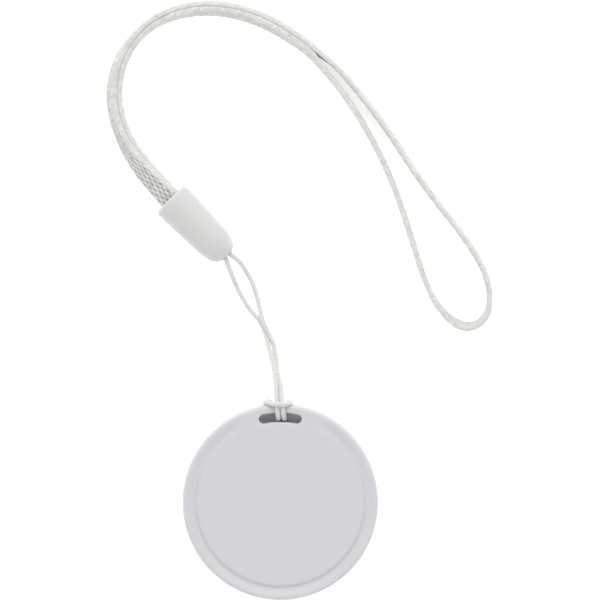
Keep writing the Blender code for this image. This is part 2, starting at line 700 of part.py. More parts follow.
def rounded_section(name, width, height):
    """Closed outline with rounded ends, the cross-section of the strap."""
    curve = bpy.data.curves.new(name, "CURVE")
    curve.dimensions = "2D"
    curve.fill_mode = "NONE"
    spline = curve.splines.new("POLY")
    radius = width / 2.0
    straight = height / 2.0 - radius
    outline = []
    for end in (1.0, -1.0):
        for i in range(5):
            a = math.pi * i / 4.0 + (0.0 if end > 0 else math.pi)
            outline.append((radius * math.cos(a), end * straight + radius * math.sin(a)))
    spline.points.add(len(outline) - 1)
    for knot, (x, y) in zip(spline.points, reversed(outline)):
        knot.co = (x, y, 0.0, 1.0)
    spline.use_cyclic_u = True
    return place(name, curve, None, "guide")


def make_ferrule():
    """Moulded plastic bullet that joins the strap's two ends to the thin cord."""
    axis = FERRULE_TIP - FERRULE_MOUTH
    length = axis.length
    profile = [
        (0.0, length), (1.25 * MM, length - 0.08 * MM), (2.2 * MM, length - 0.45 * MM),
        (2.92 * MM, length - 1.3 * MM), (3.34 * MM, length - 2.8 * MM),
        (3.5 * MM, length - 3.6 * MM), (3.74 * MM, 8.5 * MM), (3.94 * MM, 4.4 * MM),
        (3.98 * MM, 1.0 * MM), (3.88 * MM, 0.35 * MM), (3.6 * MM, 0.06 * MM), (3.2 * MM, 0.0),
        (0.0, 0.0),
    ]
    ferrule = turned("cord_ferrule", profile, MILKY_PLASTIC, 32, closed=False)
    heading = math.atan2(axis.y, axis.x)
    ferrule.matrix_world = (
        Matrix.Translation(FERRULE_MOUTH)
        @ Matrix.Rotation(heading, 4, "Z")
        @ Matrix.Diagonal((1.0, 1.0, FERRULE_FLATTEN, 1.0))
        @ Matrix.Rotation(math.pi / 2.0, 4, "Y")
    )
    ahead = axis.normalized()
    pocket = block("ferrule_pocket", (9.0 * MM, 5.3 * MM, 3.9 * MM), FERRULE_MOUTH, None,
                   "cutter", heading, edge=0.6 * MM)
    pocket.rotation_euler.x = math.radians(19.0)
    aside = Vector((-ahead.y, ahead.x, 0.0))
    outlet = block("ferrule_outlet", (9.0 * MM, 3.0 * MM, 1.8 * MM),
                   FERRULE_TIP + ahead * 0.5 * MM + aside * 0.17 * MM, None, "cutter", heading,
                   edge=0.5 * MM)
    cut(ferrule, pocket, outlet)
    return ferrule


# ---------------------------------------------------------------- finish


def settle_meshes():
    """Turn each part's modifiers into its mesh, and shade it smooth up to its real edges."""
    graph = bpy.context.evaluated_depsgraph_get()
    finished = {}
    for obj in PARTS.objects:
        if obj.type == "MESH":
            finished[obj] = bpy.data.meshes.new_from_object(obj.evaluated_get(graph))
    for obj, mesh in finished.items():
        obj.modifiers.clear()
        obj.data = mesh
        mesh.shade_smooth()
        mesh.set_sharp_from_angle(angle=math.radians(35.0))


make_front_shell()
make_rear_shell()
make_battery_door()
make_door_seal()
make_case_screws()
make_coin_cell()
make_battery_cradle()
make_contacts()
make_board()
make_board_parts()
make_switch()
hang_on("face_hinge", (0.0, HINGE_Y, HINGE_Z), make_face_panel(), *make_sounder())
make_lanyard_cord()
make_wrist_strap()
make_ferrule()
bpy.context.view_layer.update()
settle_meshes()
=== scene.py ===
"""The looks of a round tracker tag on its wrist lanyard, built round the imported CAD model.

Lengths are in metres in the CAD model's frame, apart from the lists that say millimetres. The tag
lies on its back at the origin with its pressing face up, and the lanyard lies along +Y.
"""

import math

import bmesh
import bpy
import numpy as np
from mathutils import Matrix, Vector, geometry


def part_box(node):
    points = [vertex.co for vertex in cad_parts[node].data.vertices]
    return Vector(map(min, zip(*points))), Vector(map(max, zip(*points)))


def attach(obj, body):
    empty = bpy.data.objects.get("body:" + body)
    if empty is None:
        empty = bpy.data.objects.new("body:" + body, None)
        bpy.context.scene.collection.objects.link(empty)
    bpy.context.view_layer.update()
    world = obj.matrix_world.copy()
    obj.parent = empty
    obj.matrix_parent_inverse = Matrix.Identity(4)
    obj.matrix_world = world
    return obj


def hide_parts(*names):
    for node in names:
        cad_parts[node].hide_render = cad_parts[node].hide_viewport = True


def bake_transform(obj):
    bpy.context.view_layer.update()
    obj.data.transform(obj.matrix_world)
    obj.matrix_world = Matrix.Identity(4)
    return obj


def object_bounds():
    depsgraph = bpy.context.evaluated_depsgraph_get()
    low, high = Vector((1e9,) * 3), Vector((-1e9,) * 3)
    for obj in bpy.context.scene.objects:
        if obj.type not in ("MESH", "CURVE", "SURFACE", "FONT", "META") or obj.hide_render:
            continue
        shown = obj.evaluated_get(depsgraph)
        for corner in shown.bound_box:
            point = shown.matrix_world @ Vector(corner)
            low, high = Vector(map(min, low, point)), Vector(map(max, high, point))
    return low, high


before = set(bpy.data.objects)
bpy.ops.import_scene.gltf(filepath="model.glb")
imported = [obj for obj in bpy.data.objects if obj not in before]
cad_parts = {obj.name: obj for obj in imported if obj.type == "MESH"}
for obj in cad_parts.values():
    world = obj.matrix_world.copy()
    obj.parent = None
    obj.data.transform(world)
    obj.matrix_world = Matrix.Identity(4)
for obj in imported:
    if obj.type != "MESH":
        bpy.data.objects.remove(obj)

MM = 0.001
CAD_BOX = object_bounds()

# The tag, from the boxes of its CAD nodes
TAG_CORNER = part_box("front_shell")[1]
TAG_RADIUS = TAG_CORNER.x
TAG_HEIGHT = TAG_CORNER.z
FACE_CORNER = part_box("face_panel")[1]
FACE_TOP = FACE_CORNER.z
FACE_RADIUS = FACE_CORNER.x
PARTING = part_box("rear_shell")[1].z
DOOR_RADIUS = -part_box("battery_door")[0].y

# Rim and groove
RIM_ROUND = 0.7 * MM  # how far in the rim's rounded edge goes,
RIM_DROP = 1.1 * MM  # and how far down
CREST_RADIUS = TAG_RADIUS - RIM_ROUND
GROOVE_DEPTH = 0.36 * MM
INNER_WALL = (16.25 * MM, 17.15 * MM)  # radii where the groove's inner wall starts and ends
OUTER_WALL = (17.1 * MM, 18.85 * MM)  # the same for its outer wall
GROOVE_GAP = 0.015 * MM  # what is left open beside the pressing face
GROOVE_START = math.radians(26.0)  # from +Y, where the groove starts to sink
GROOVE_FULL = math.radians(39.0)
SEAM_OUT = math.radians(27.0)  # the face's skin reaches out to the rim up to here,
SEAM_IN = math.radians(36.0)  # and stays inside the groove from here on
SEAM_RADIUS = 18.35 * MM
SEAM_GAP_RAMP = math.radians(5.0)  # the turn over which the gap opens
SKIN_BOTTOM = 7.3 * MM  # underside of the face
RIM_BOTTOM = 7.0 * MM  # underside of the rim
RIM_INSIDE = 18.6 * MM  # inner radius of the side wall
SIDE_MIDDLE = 5.6 * MM  # a ring of points between the rim and the parting
PARTING_LINE = 0.05 * MM  # what is left open between the two shells
# How far in and how far up the rounded edge at the parting lies, in three points
PARTING_EDGE = ((0.0, 0.16 * MM), (0.03 * MM, 0.06 * MM), (0.1 * MM, 0.0))
HINGE_START = (0.0, 12.6 * MM, FACE_TOP)
HINGE_END = (0.0, 13.9 * MM, FACE_TOP)

# Lanyard slot, an arc concentric with the tag
SLOT_RADIUS = 16.9 * MM
SLOT_WIDTH = 1.86 * MM
SLOT_LENGTH = 8.5 * MM
SLOT_HALF_ANGLE = (SLOT_LENGTH - SLOT_WIDTH) / 2.0 / SLOT_RADIUS
LIP = 0.28 * MM  # radius of the slot's rounded edge
SLEEVE = 0.34 * MM  # wall of the tube that goes down from the slot
SLEEVE_BOTTOM = 1.45 * MM

# Lanyard
CORD_DIAMETER = 0.88 * MM
STRAP_WIDTH = 4.2 * MM
STRAP_THICKNESS = 1.1 * MM
STRAP_OFFSET = 0.64 * MM  # from the middle of the pair to the middle of a leg
FERRULE_MOUTH = Vector((-22.1, 60.58, 3.25)) * MM
FERRULE_TIP = Vector((-10.76, 49.12, 3.25)) * MM
FERRULE_FLATTEN = 0.81

# Two legs of the strap together: x, y, z in millimetres and the roll in degrees, as in the CAD source.
PAIR_ROUTE = (
    (-19.18, 57.44, 3.25, 72), (-21.97, 60.33, 3.25, 70), (-24.56, 63.22, 3.15, 60),
    (-27.04, 66.05, 2.9, 49), (-30.48, 71.07, 2.55, 28), (-32.77, 76.58, 2.42, 22.5),
    (-33.46, 82.39, 2.38, 21), (-31.7, 89.37, 2.3, 15), (-27.03, 95.09, 2.22, 6),
    (-21.01, 98.12, 2.2, -1), (-15.02, 99.01, 2.26, -6), (-8.79, 98.3, 2.27, -7),
    (-3.14, 96.38, 2.28, -8), (2.35, 93.26, 2.25, -6), (6.0, 90.56, 2.24, -4),
)
OUTER_LEG = (
    (10.12, 88.2, 4), (17.1, 80.48, 9.5), (21.99, 73.84, 9.5), (27.85, 65.01, 9),
    (31.76, 59.65, 8.7), (35.77, 54.53, 8.7), (38.66, 50.41, 8.7), (41.14, 45.73, 8),
    (42.11, 41.03, 5), (41.69, 37.87, -1), (39.97, 35.62, -8), (37.32, 34.97, -15),
)
INNER_LEG = (
    (34.98, 35.87, -15), (32.48, 38.18, -9), (30.33, 41.49, -5), (28.8, 45.07, -2),
    (26.76, 51.35, 0), (24.6, 58.15, 0), (22.44, 64.04, 0), (19.35, 70.75, 0),
    (13.59, 80.46, 0), (9.6, 85.62, -1),
)
# The thin cord, from the ferrule along its left strand, round the bar, and back along the right one,
# in millimetres
LEFT_STRAND = (
    (-13.17, 50.88, 3.2), (-11.28, 48.96, 3.1), (-10.25, 46.4, 2.4), (-9.05, 43.4, 1.3),
    (-7.65, 40.6, 0.65), (-6.0, 38.1, 0.5), (-4.38, 36.2, 0.5), (-3.2, 33.9, 1.0),
    (-2.55, 31.4, 1.95), (-1.8, 28.6, 3.6), (-1.12, 25.9, 5.35), (-0.84, 23.0, 6.9),
    (-0.72, 21.0, 8.1), (-0.64, 19.6, 8.85), (-0.56, 18.6, 9.0), (-0.5, 17.9, 8.9),
    (-0.45, 17.35, 8.6), (-0.4, 16.95, 8.0), (-0.35, 16.65, 7.1), (-0.3, 16.5, 6.0),
    (-0.3, 16.48, 4.8), (-0.3, 16.6, 3.4), (-0.4, 16.9, 1.9), (-0.55, 17.4, 1.08),
    (-0.85, 18.1, 0.9), (-1.3, 18.8, 0.9), (-1.85, 19.38, 1.06), (-2.25, 19.76, 1.6),
    (-2.65, 19.86, 2.6), (-2.95, 19.79, 4.1), (-3.05, 19.77, 5.6), (-2.88, 19.79, 6.9),
    (-2.45, 19.76, 7.9), (-1.9, 19.66, 8.65), (-1.3, 19.57, 9.45),
)
BIGHT = ((-0.15, 19.55, 9.85),)
RIGHT_STRAND = (
    (1.0, 19.5, 9.46), (1.47, 19.62, 8.75), (1.8, 19.8, 7.9), (1.96, 19.9, 6.8),
    (2.0, 19.9, 5.4), (1.98, 19.91, 3.9), (1.9, 19.93, 2.6), (1.75, 19.8, 1.6),
    (1.55, 19.38, 1.06), (1.3, 18.8, 0.9), (1.1, 18.1, 0.9), (0.95, 17.4, 1.08),
    (0.85, 16.9, 1.9), (0.8, 16.6, 3.4), (0.8, 16.48, 4.8), (0.8, 16.5, 6.0),
    (0.78, 16.65, 7.1), (0.74, 16.95, 8.0), (0.66, 17.35, 8.6), (0.58, 17.9, 8.9),
    (0.46, 18.6, 9.0), (0.34, 19.6, 8.85), (0.24, 21.0, 8.1), (0.08, 23.0, 6.7),
    (-0.65, 25.9, 4.2), (-0.9, 28.5, 2.55), (-1.45, 31.4, 1.65), (-2.7, 34.0, 1.4),
    (-3.75, 36.7, 1.5), (-4.15, 38.5, 1.2), (-4.55, 40.1, 1.0), (-5.47, 43.2, 1.0),
    (-6.8, 45.8, 1.7), (-8.38, 48.1, 2.7), (-10.46, 49.76, 3.15), (-12.42, 51.62, 3.2),
)


# ---- camera

AIM = Vector((3.92, 40.25)) * MM
FIELD = 119.6 * MM  # what the picture takes in, across
FIELD_HEIGHT = 7.0 * MM
CAMERA_DISTANCE = 450.0 * MM
SENSOR = 36.0  # in millimetres, as is the focal length
CLIP_START = 0.01
CLIP_END = 10.0


def make_camera():
    """Straight above the middle of the object, with +Y to the top of the picture."""
    data = bpy.data.cameras.new("camera")
    data.sensor_width = SENSOR
    data.lens = SENSOR * CAMERA_DISTANCE / FIELD
    data.clip_start = CLIP_START
    data.clip_end = CLIP_END
    camera = bpy.data.objects.new("camera", data)
    camera.location = (AIM.x, AIM.y, FIELD_HEIGHT + CAMERA_DISTANCE)
    bpy.context.scene.collection.objects.link(camera)
    bpy.context.scene.camera = camera


make_camera()


# ---- materials

NOISE = (0.3, 0.7)  # what a noise mostly lies between


class Look:
    """A material with a Principled shader, and short calls to wire its nodes."""

    def __init__(self, name, **constants):
        self.material = bpy.data.materials.new(name)
        self.material.use_nodes = True
        self.tree = self.material.node_tree
        self.shader = self.tree.nodes["Principled BSDF"]
        for socket, value in constants.items():
            self.shader.inputs[socket.replace("_", " ")].default_value = value

    def node(self, kind, inputs=(), **settings):
        made = self.tree.nodes.new(kind)
        for key, value in settings.items():
            setattr(made, key, value)
        for key, value in dict(inputs).items():
            if isinstance(value, bpy.types.NodeSocket):
                self.tree.links.new(value, made.inputs[key])
            else:
                made.inputs[key].default_value = value
        return made

    def place(self):
        return self.node("ShaderNodeTexCoord").outputs["Object"]

    def attribute(self, name, output):
        return self.node("ShaderNodeAttribute", attribute_name=name).outputs[output]

    def stretched(self, vector, scale):
        inputs = {"Vector": vector, "Scale": scale}
        return self.node("ShaderNodeMapping", inputs).outputs["Vector"]

    def noise(self, scale, vector=None, detail=2.0, roughness=0.5):
        inputs = {
            "Vector": self.place() if vector is None else vector,
            "Scale": scale, "Detail": detail, "Roughness": roughness,
        }
        return self.node("ShaderNodeTexNoise", inputs).outputs["Fac"]

    def math(self, operation, first, second=0.0):
        return self.node("ShaderNodeMath", {0: first, 1: second}, operation=operation).outputs[0]

    def between(self, factor, low, high, start=0.0, end=1.0):
        inputs = {"Value": factor, "From Min": start, "From Max": end, "To Min": low, "To Max": high}
        return self.node("ShaderNodeMapRange", inputs).outputs["Result"]

    def mix(self, factor, first, second):
        """Colour first where factor is 0, second where it is 1."""
        made = self.node("ShaderNodeMix", data_type="RGBA")
        for socket, value in ((made.inputs[0], factor), (made.inputs[6], first), (made.inputs[7], second)):
            if isinstance(value, bpy.types.NodeSocket):
                self.tree.links.new(value, socket)
            else:
                socket.default_value = (*value, 1.0)
        return made.outputs[2]

    def feed(self, **sockets):
        for socket, value in sockets.items():
            self.tree.links.new(value, self.shader.inputs[socket.replace("_", " ")])

    def bump(self, height, distance, strength=1.0):
        inputs = {"Height": height, "Distance": distance, "Strength": strength}
        self.feed(Normal=self.node("ShaderNodeBump", inputs).outputs["Normal"])


def moulded_plastic(name, colour, roughness, grain, depth, subsurface=0.0, radius=0.4 * MM):
    """Plastic from a finely spark-eroded mould: faint mottling, satin grain and soft light."""
    look = Look(name, IOR=1.5, Subsurface_Weight=subsurface, Subsurface_Scale=radius)
    look.shader.inputs["Subsurface Radius"].default_value = (1.0, 0.95, 0.9)
    mottle = look.noise(220.0, detail=3.0)
    darker = tuple(c * 0.975 for c in colour)
    look.feed(Base_Color=look.mix(mottle, darker, colour))
    fine = look.noise(1.0 / grain, detail=3.0, roughness=0.6)
    worn = look.noise(90.0, detail=4.0)
    spread = look.math("ADD", look.math("MULTIPLY", fine, 0.5), look.math("MULTIPLY", worn, 0.5))
    look.feed(Roughness=look.between(spread, roughness - 0.07, roughness + 0.07, *NOISE))
    look.bump(fine, depth)
    return look.material


def braided_fabric(name, light, dark, pit_shade, filament):
    """Yarns of fine filaments. The mesh says where each point lies on its yarn and how high it is."""
    look = Look(name, Sheen_Weight=0.25, Sheen_Roughness=0.5, Specular_IOR_Level=0.35,
                Subsurface_Weight=0.4, Subsurface_Scale=0.7 * MM)
    look.shader.inputs["Subsurface Radius"].default_value = (1.0, 1.0, 0.95)
    lie = look.attribute("yarn_lie", "Vector")
    rise = look.attribute("yarn_rise", "Fac")
    strands = look.noise(1.0, look.stretched(lie, (0.12 / filament, 1.0 / filament, 1700.0)), 2.0)
    tone = look.noise(1.0, look.stretched(lie, (450.0, 0.0, 1700.0)), 1.0)
    shade = look.math("ADD", look.math("MULTIPLY", strands, 0.4), look.math("MULTIPLY", tone, 0.6))
    yarn = look.mix(look.between(shade, 0.0, 1.0, 0.36, 0.64), dark, light)
    # Painted shade: low points of the braid, down in its pits, take the dark pit colour, and the crowns
    # take the yarn's own colour
    loose = look.noise(1.0, look.stretched(lie, (700.0, 0.0, 2300.0)), 1.0)
    uneven = look.math("ADD", rise, look.between(loose, -0.16, 0.16, *NOISE))
    out_of_pit_shade = look.between(uneven, 0.0, 1.0, 0.3, 0.92)
    look.feed(Base_Color=look.mix(out_of_pit_shade, pit_shade, yarn))
    look.feed(Roughness=look.between(strands, 0.62, 0.9, *NOISE))
    look.bump(strands, 0.03 * MM, 0.7)
    return look.material


def metal(name, colour, roughness, stretch, tarnish):
    """Drawn or stamped sheet metal with fine lines one way and dull patches."""
    look = Look(name, Metallic=1.0)
    lines = look.noise(1.0, look.stretched(look.place(), stretch), 3.0, 0.7)
    patches = look.noise(500.0, detail=4.0)
    look.feed(Base_Color=look.mix(look.between(patches, 0.0, 1.0, 0.45, 0.75), colour, tarnish))
    look.feed(Roughness=look.between(lines, roughness - 0.08, roughness + 0.14, 0.25, 0.75))
    look.bump(lines, 0.004 * MM, 0.5)
    return look.material


def circuit_board(name):
    """Solder mask over copper, with tracks, ground fill and plated holes."""
    look = Look(name, Specular_IOR_Level=0.6, Coat_Weight=0.4, Coat_Roughness=0.25)
    place = look.place()
    cells = look.node(
        "ShaderNodeTexVoronoi", {"Vector": place, "Scale": 420.0, "Randomness": 0.55},
        distance="MANHATTAN", feature="F1",
    )
    tracks = look.between(cells.outputs["Distance"], 0.0, 1.0, 0.46, 0.5)
    holes = look.between(cells.outputs["Distance"], 1.0, 0.0, 0.07, 0.09)
    weave = look.noise(5000.0, detail=1.0)
    mask = look.mix(tracks, (0.012, 0.105, 0.042), (0.02, 0.17, 0.07))
    look.feed(Base_Color=look.mix(holes, mask, (0.62, 0.5, 0.22)))
    look.feed(Roughness=look.between(weave, 0.3, 0.45, *NOISE))
    look.bump(look.math("ADD", look.math("MULTIPLY", tracks, 0.7), look.math("MULTIPLY", weave, 0.2)),
              0.02 * MM)
    return look.material


def fired_component(name, body, ends, share, roughness):
    """A ceramic block with plated ends along its longer side."""
    look = Look(name)
    along = look.node("ShaderNodeSeparateXYZ", {0: look.node("ShaderNodeTexCoord").outputs["Generated"]})
    middle = look.math("ABSOLUTE", look.math("SUBTRACT", along.outputs["X"], 0.5))
    plated = look.between(middle, 0.0, 1.0, 0.5 - share, 0.5 - share + 0.02)
    speckle = look.noise(6000.0, detail=3.0)
    clay = look.mix(look.between(speckle, 0.0, 1.0, *NOISE), tuple(c * 0.82 for c in body), body)
    look.feed(Base_Color=look.mix(plated, clay, ends), Metallic=plated)
    look.feed(Roughness=look.between(speckle, roughness - 0.08, roughness + 0.08, *NOISE))
    look.bump(speckle, 0.008 * MM)
    return look.material


WHITE_SHELL = moulded_plastic("white_shell_moulded", (0.70, 0.706, 0.72), 0.42, 0.09 * MM, 0.004 * MM,
                              0.12)
MILKY_PLASTIC = moulded_plastic("milky_moulded", (0.73, 0.722, 0.715), 0.46, 0.14 * MM, 0.006 * MM,
                                0.45, 1.2 * MM)
# The third colour of each braid is painted shade, for the darkness down in its pits
STRAP_FABRIC = braided_fabric("strap_braid", (0.87, 0.867, 0.848), (0.66, 0.657, 0.634),
                              (0.16, 0.156, 0.138), 0.05 * MM)
CORD_FABRIC = braided_fabric("cord_braid", (0.81, 0.81, 0.80), (0.73, 0.73, 0.71),
                             (0.46, 0.455, 0.43), 0.035 * MM)
BLACK_PLASTIC = moulded_plastic("black_moulded", (0.022, 0.022, 0.024), 0.5, 0.12 * MM, 0.008 * MM)
GREY_RUBBER = moulded_plastic("seal_rubber", (0.1, 0.1, 0.105), 0.75, 0.06 * MM, 0.01 * MM)
CHIP_BLACK = moulded_plastic("chip_resin", (0.024, 0.024, 0.025), 0.55, 0.05 * MM, 0.006 * MM)
CELL_BLACK = moulded_plastic("cell_powder", (0.03, 0.03, 0.03), 0.85, 0.1 * MM, 0.02 * MM)
BOARD_GREEN = circuit_board("board_mask")
STEEL = metal("nickel_steel", (0.66, 0.66, 0.64), 0.24, (900.0, 9000.0, 900.0), (0.5, 0.49, 0.46))
BRASS = metal("brass_sheet_drawn", (0.8, 0.62, 0.3), 0.3, (9000.0, 900.0, 900.0), (0.6, 0.43, 0.2))
CERAMIC = fired_component("ceramic_block", (0.86, 0.85, 0.8), (0.72, 0.7, 0.66), 0.1, 0.35)
CAPACITOR_TAN = fired_component("capacitor_block", (0.42, 0.29, 0.16), (0.75, 0.74, 0.72), 0.22, 0.45)


# ---- mesh helpers


def mesh_piece(name, points, faces, look):
    """A piece from points in metres and faces, shaded smooth."""
    mesh = bpy.data.meshes.new(name)
    mesh.from_pydata([tuple(p) for p in points], [], faces)
    mesh.validate()
    mesh.materials.append(look)
    mesh.shade_smooth()
    piece = bpy.data.objects.new(name, mesh)
    bpy.context.scene.collection.objects.link(piece)
    return piece


def loft(rings, capped=True):
    """Points and faces of a skin over rings of points, each ring going anticlockwise about the way on."""
    count, around = rings.shape[:2]
    points = [tuple(p) for p in rings.reshape(-1, 3)]
    faces = []
    for i in range(count - 1):
        for j in range(around):
            here, beside = i * around + j, i * around + (j + 1) % around
            faces.append((here, beside, beside + around, here + around))
    if capped:
        for i, flip in ((0, True), (count - 1, False)):
            middle = len(points)
            points.append(tuple(rings[i].mean(axis=0)))
            for j in range(around):
                edge = (i * around + j, i * around + (j + 1) % around)
                faces.append((*(reversed(edge) if flip else edge), middle))
    return points, faces


def add_attribute(piece, name, kind, values):
    """A value at each point of the mesh, for its material."""
    made = piece.data.attributes.new(name, kind, "POINT")
    key = "vector" if kind == "FLOAT_VECTOR" else "value"
    made.data.foreach_set(key, np.asarray(values, np.float32).ravel())


def smoothstep(x):
    t = np.clip(x, 0.0, 1.0)
    return t * t * (3.0 - 2.0 * t)


def smooth_curve(route, step):
    """Points about one step apart on a smooth curve through the points of a route."""
    knots = np.concatenate(([0.0], np.cumsum(np.linalg.norm(np.diff(route[:, :3], axis=0), axis=1))))
    slopes = np.gradient(route, knots, axis=0)
    at = np.linspace(0.0, knots[-1], int(round(knots[-1] / step)) + 1)
    span = np.clip(np.searchsorted(knots, at, side="right") - 1, 0, len(route) - 2)
    width = (knots[span + 1] - knots[span])[:, None]
    t = ((at - knots[span]) / width[:, 0])[:, None]
    return (
        (2 * t**3 - 3 * t**2 + 1) * route[span]
        + (t**3 - 2 * t**2 + t) * width * slopes[span]
        + (3 * t**2 - 2 * t**3) * route[span + 1]
        + (t**3 - t**2) * width * slopes[span + 1]
    )


def spread_evenly(points, step):
    """The same line with its points at equal distances."""
    along = np.concatenate(([0.0], np.cumsum(np.linalg.norm(np.diff(points[:, :3], axis=0), axis=1))))
    at = np.linspace(0.0, along[-1], int(round(along[-1] / step)) + 1)
    return np.column_stack([np.interp(at, along, points[:, k]) for k in range(points.shape[1])]), at


def unit(vectors):
    return vectors / np.linalg.norm(vectors, axis=-1, keepdims=True)


def full_turn(steps):
    return 2.0 * np.pi * np.arange(steps) / steps


# ---- lanyard

STRAP_YARNS = 10  # one way round; as many go the other way
STRAP_LEAD = 22.0 * MM  # the length in which a yarn goes round once
STRAP_RELIEF = 0.28 * MM  # from the braid's pits to its crowns
STRAP_LEVEL = 0.85  # the height in the relief, from 0 to 1, that lies on the section's outline
STRAP_STEP = 0.1 * MM  # between points of the smooth curve, before they are spread evenly
CORD_YARNS = 4
CORD_LEAD = 4.0 * MM
CORD_RELIEF = 0.13 * MM
CORD_LEVEL = 0.5
CORD_STEP = 0.05 * MM
ALONG_SAMPLES = 9  # mesh rings for each crossing along the braid
ROUND_SAMPLES = 7  # mesh points for each yarn round it
YARN_FILL = 0.9  # a yarn's width, of the room that it has
YARN_CRIMP = 0.5  # how far a yarn rises and dips at the crossings, of its own height
YARN_STRETCH = 1.2  # a yarn's length, for each length of tube
CORNER_SWELL = 0.32 * MM  # how far the strap's corners spread where its legs press together
SNUG_EDGE = 0.8  # how tight the yarns lie where they turn round the strap's edges, up to 1
SNUG_CORD = 0.45  # the same, all round the thin cord


def braid(along, around, yarns, lead):
    """Of a braid with yarns each way: its height from 0 to 1, and each point's place on its yarn.

    along is in metres, around is in turns, and lead is the length in which a yarn goes round once.
    """
    u = yarns * (around - along / lead)
    v = yarns * (around + along / lead)
    i, j = np.round(u), np.round(v)

    def crown(across):
        return np.sqrt(np.clip(1.0 - (2.0 * across / YARN_FILL) ** 2, 0.0, 1.0))

    first = YARN_CRIMP * np.cos(np.pi * (v - i)) + crown(u - i)
    second = -YARN_CRIMP * np.cos(np.pi * (u - j)) + crown(v - j)
    on_top = first >= second
    height = np.where(on_top, first, second)
    across = np.where(on_top, u - i, v - j)
    yarn = np.where(on_top, i % yarns, j % yarns + yarns)
    low, high = -YARN_CRIMP, 1.0 + YARN_CRIMP
    return (height - low) / (high - low), across, yarn


def braided_tube(name, line, at, outline, normals, axes, yarns, lead, depth, level, look, snug,
                 pressed=0.0, swell=0.0):
    """A tube with the outline as its section, its skin raised into the yarns of a braid.

    Points of height level stay on the outline. The pits are shallow where the yarns lie snug, and
    the skin is smooth where it is pressed. swell is a lift of its own in metres.
    """
    turns = np.arange(len(outline)) / len(outline)
    height, across, yarn = braid(at[:, None], turns[None, :], yarns, lead)
    # Where yarns lie snug or pressed, the pits are shallower and, through yarn_rise, their painted shade is
    # lighter
    height = 1.0 - (1.0 - height) * (1.0 - snug) * (1.0 - pressed)
    lift = (height - level) * depth * (1.0 - pressed) + swell
    section = outline[None] + normals[None] * lift[:, :, None]
    aside, above = axes
    rings = line[:, None, :] + section[:, :, :1] * aside[:, None, :] + section[:, :, 1:] * above[:, None, :]
    points, faces = loft(rings)
    piece = mesh_piece(name, points, faces, look)
    caps = 2
    width = np.linalg.norm(np.diff(outline, axis=0), axis=1).sum() / yarns
    length = np.broadcast_to(at[:, None], across.shape) * YARN_STRETCH
    lie = np.stack([length, across * width, yarn * MM], axis=-1).reshape(-1, 3)
    add_attribute(piece, "yarn_lie", "FLOAT_VECTOR", np.concatenate([lie, np.zeros((caps, 3))]))
    # yarn_rise tells the material how much painted pit shade each point gets
    add_attribute(piece, "yarn_rise", "FLOAT", np.concatenate([height.ravel(), np.zeros(caps)]))
    return piece


def make_lanyard_cord():
    """The thin braided cord, with its lark's head on the tag."""
    route = np.array(LEFT_STRAND + BIGHT + RIGHT_STRAND) * MM
    line, at = spread_evenly(smooth_curve(route, CORD_STEP), CORD_LEAD / CORD_YARNS / ALONG_SAMPLES)
    tangent = unit(np.gradient(line, axis=0))
    side = [unit(np.cross(tangent[0], (0.0, 0.0, 1.0)))]
    for direction in tangent[1:]:
        kept = side[-1] - direction * np.dot(side[-1], direction)
        side.append(unit(kept))
    side = np.array(side)
    angles = full_turn(CORD_YARNS * ROUND_SAMPLES)
    normals = np.stack([np.cos(angles), np.sin(angles)], axis=1)
    piece = braided_tube(
        "lanyard_cord_braid", line, at, normals * CORD_DIAMETER / 2.0, normals,
        (side, np.cross(tangent, side)), CORD_YARNS, CORD_LEAD, CORD_RELIEF, CORD_LEVEL, CORD_FABRIC,
        SNUG_CORD,
    )
    return piece, line


def strap_route():
    """Middle line of the strap, out along one leg and back along the other.

    After x, y and z come its roll in radians, and 1 where its other leg presses on it.
    """
    pair = np.array(PAIR_ROUTE, float)
    middle, roll = pair[:, :3] * MM, np.radians(pair[:, 3])
    heading = unit(np.gradient(middle[:, :2], axis=0))
    across = np.stack([-heading[:, 1] * np.cos(roll), heading[:, 0] * np.cos(roll), np.sin(roll)], 1)
    shift = across * STRAP_OFFSET
    together = np.ones(len(pair))
    outward = np.column_stack([middle + shift, roll, together])
    homeward = np.column_stack([middle - shift, -roll, together])[::-1]
    height = middle[-1, 2]
    loop = [(x * MM, y * MM, height, math.radians(turn), 0.0) for x, y, turn in OUTER_LEG + INNER_LEG]
    return np.concatenate([outward, loop, homeward])


def strap_outline(count):
    """Section of the strap, its thickness along x, with the outward direction at each point."""
    radius = STRAP_THICKNESS / 2.0
    flat = STRAP_WIDTH / 2.0 - radius
    bend = math.pi * radius
    lengths = np.array([2.0 * flat, bend, 2.0 * flat, bend])
    ends = np.cumsum(lengths)
    outline, normals = [], []
    for k in range(count):
        place = ends[-1] * k / count
        stretch = int(np.searchsorted(ends, place, side="right"))
        rest = place - (ends[stretch] - lengths[stretch])
        sign = 1.0 if stretch < 2 else -1.0
        if stretch % 2 == 0:
            outline.append((sign * radius, sign * (rest - flat)))
            normals.append((sign, 0.0))
        else:
            turn = rest / radius
            normals.append((sign * math.cos(turn), sign * math.sin(turn)))
            outline.append((normals[-1][0] * radius, normals[-1][1] * radius + sign * flat))
    return np.array(outline), np.array(normals)


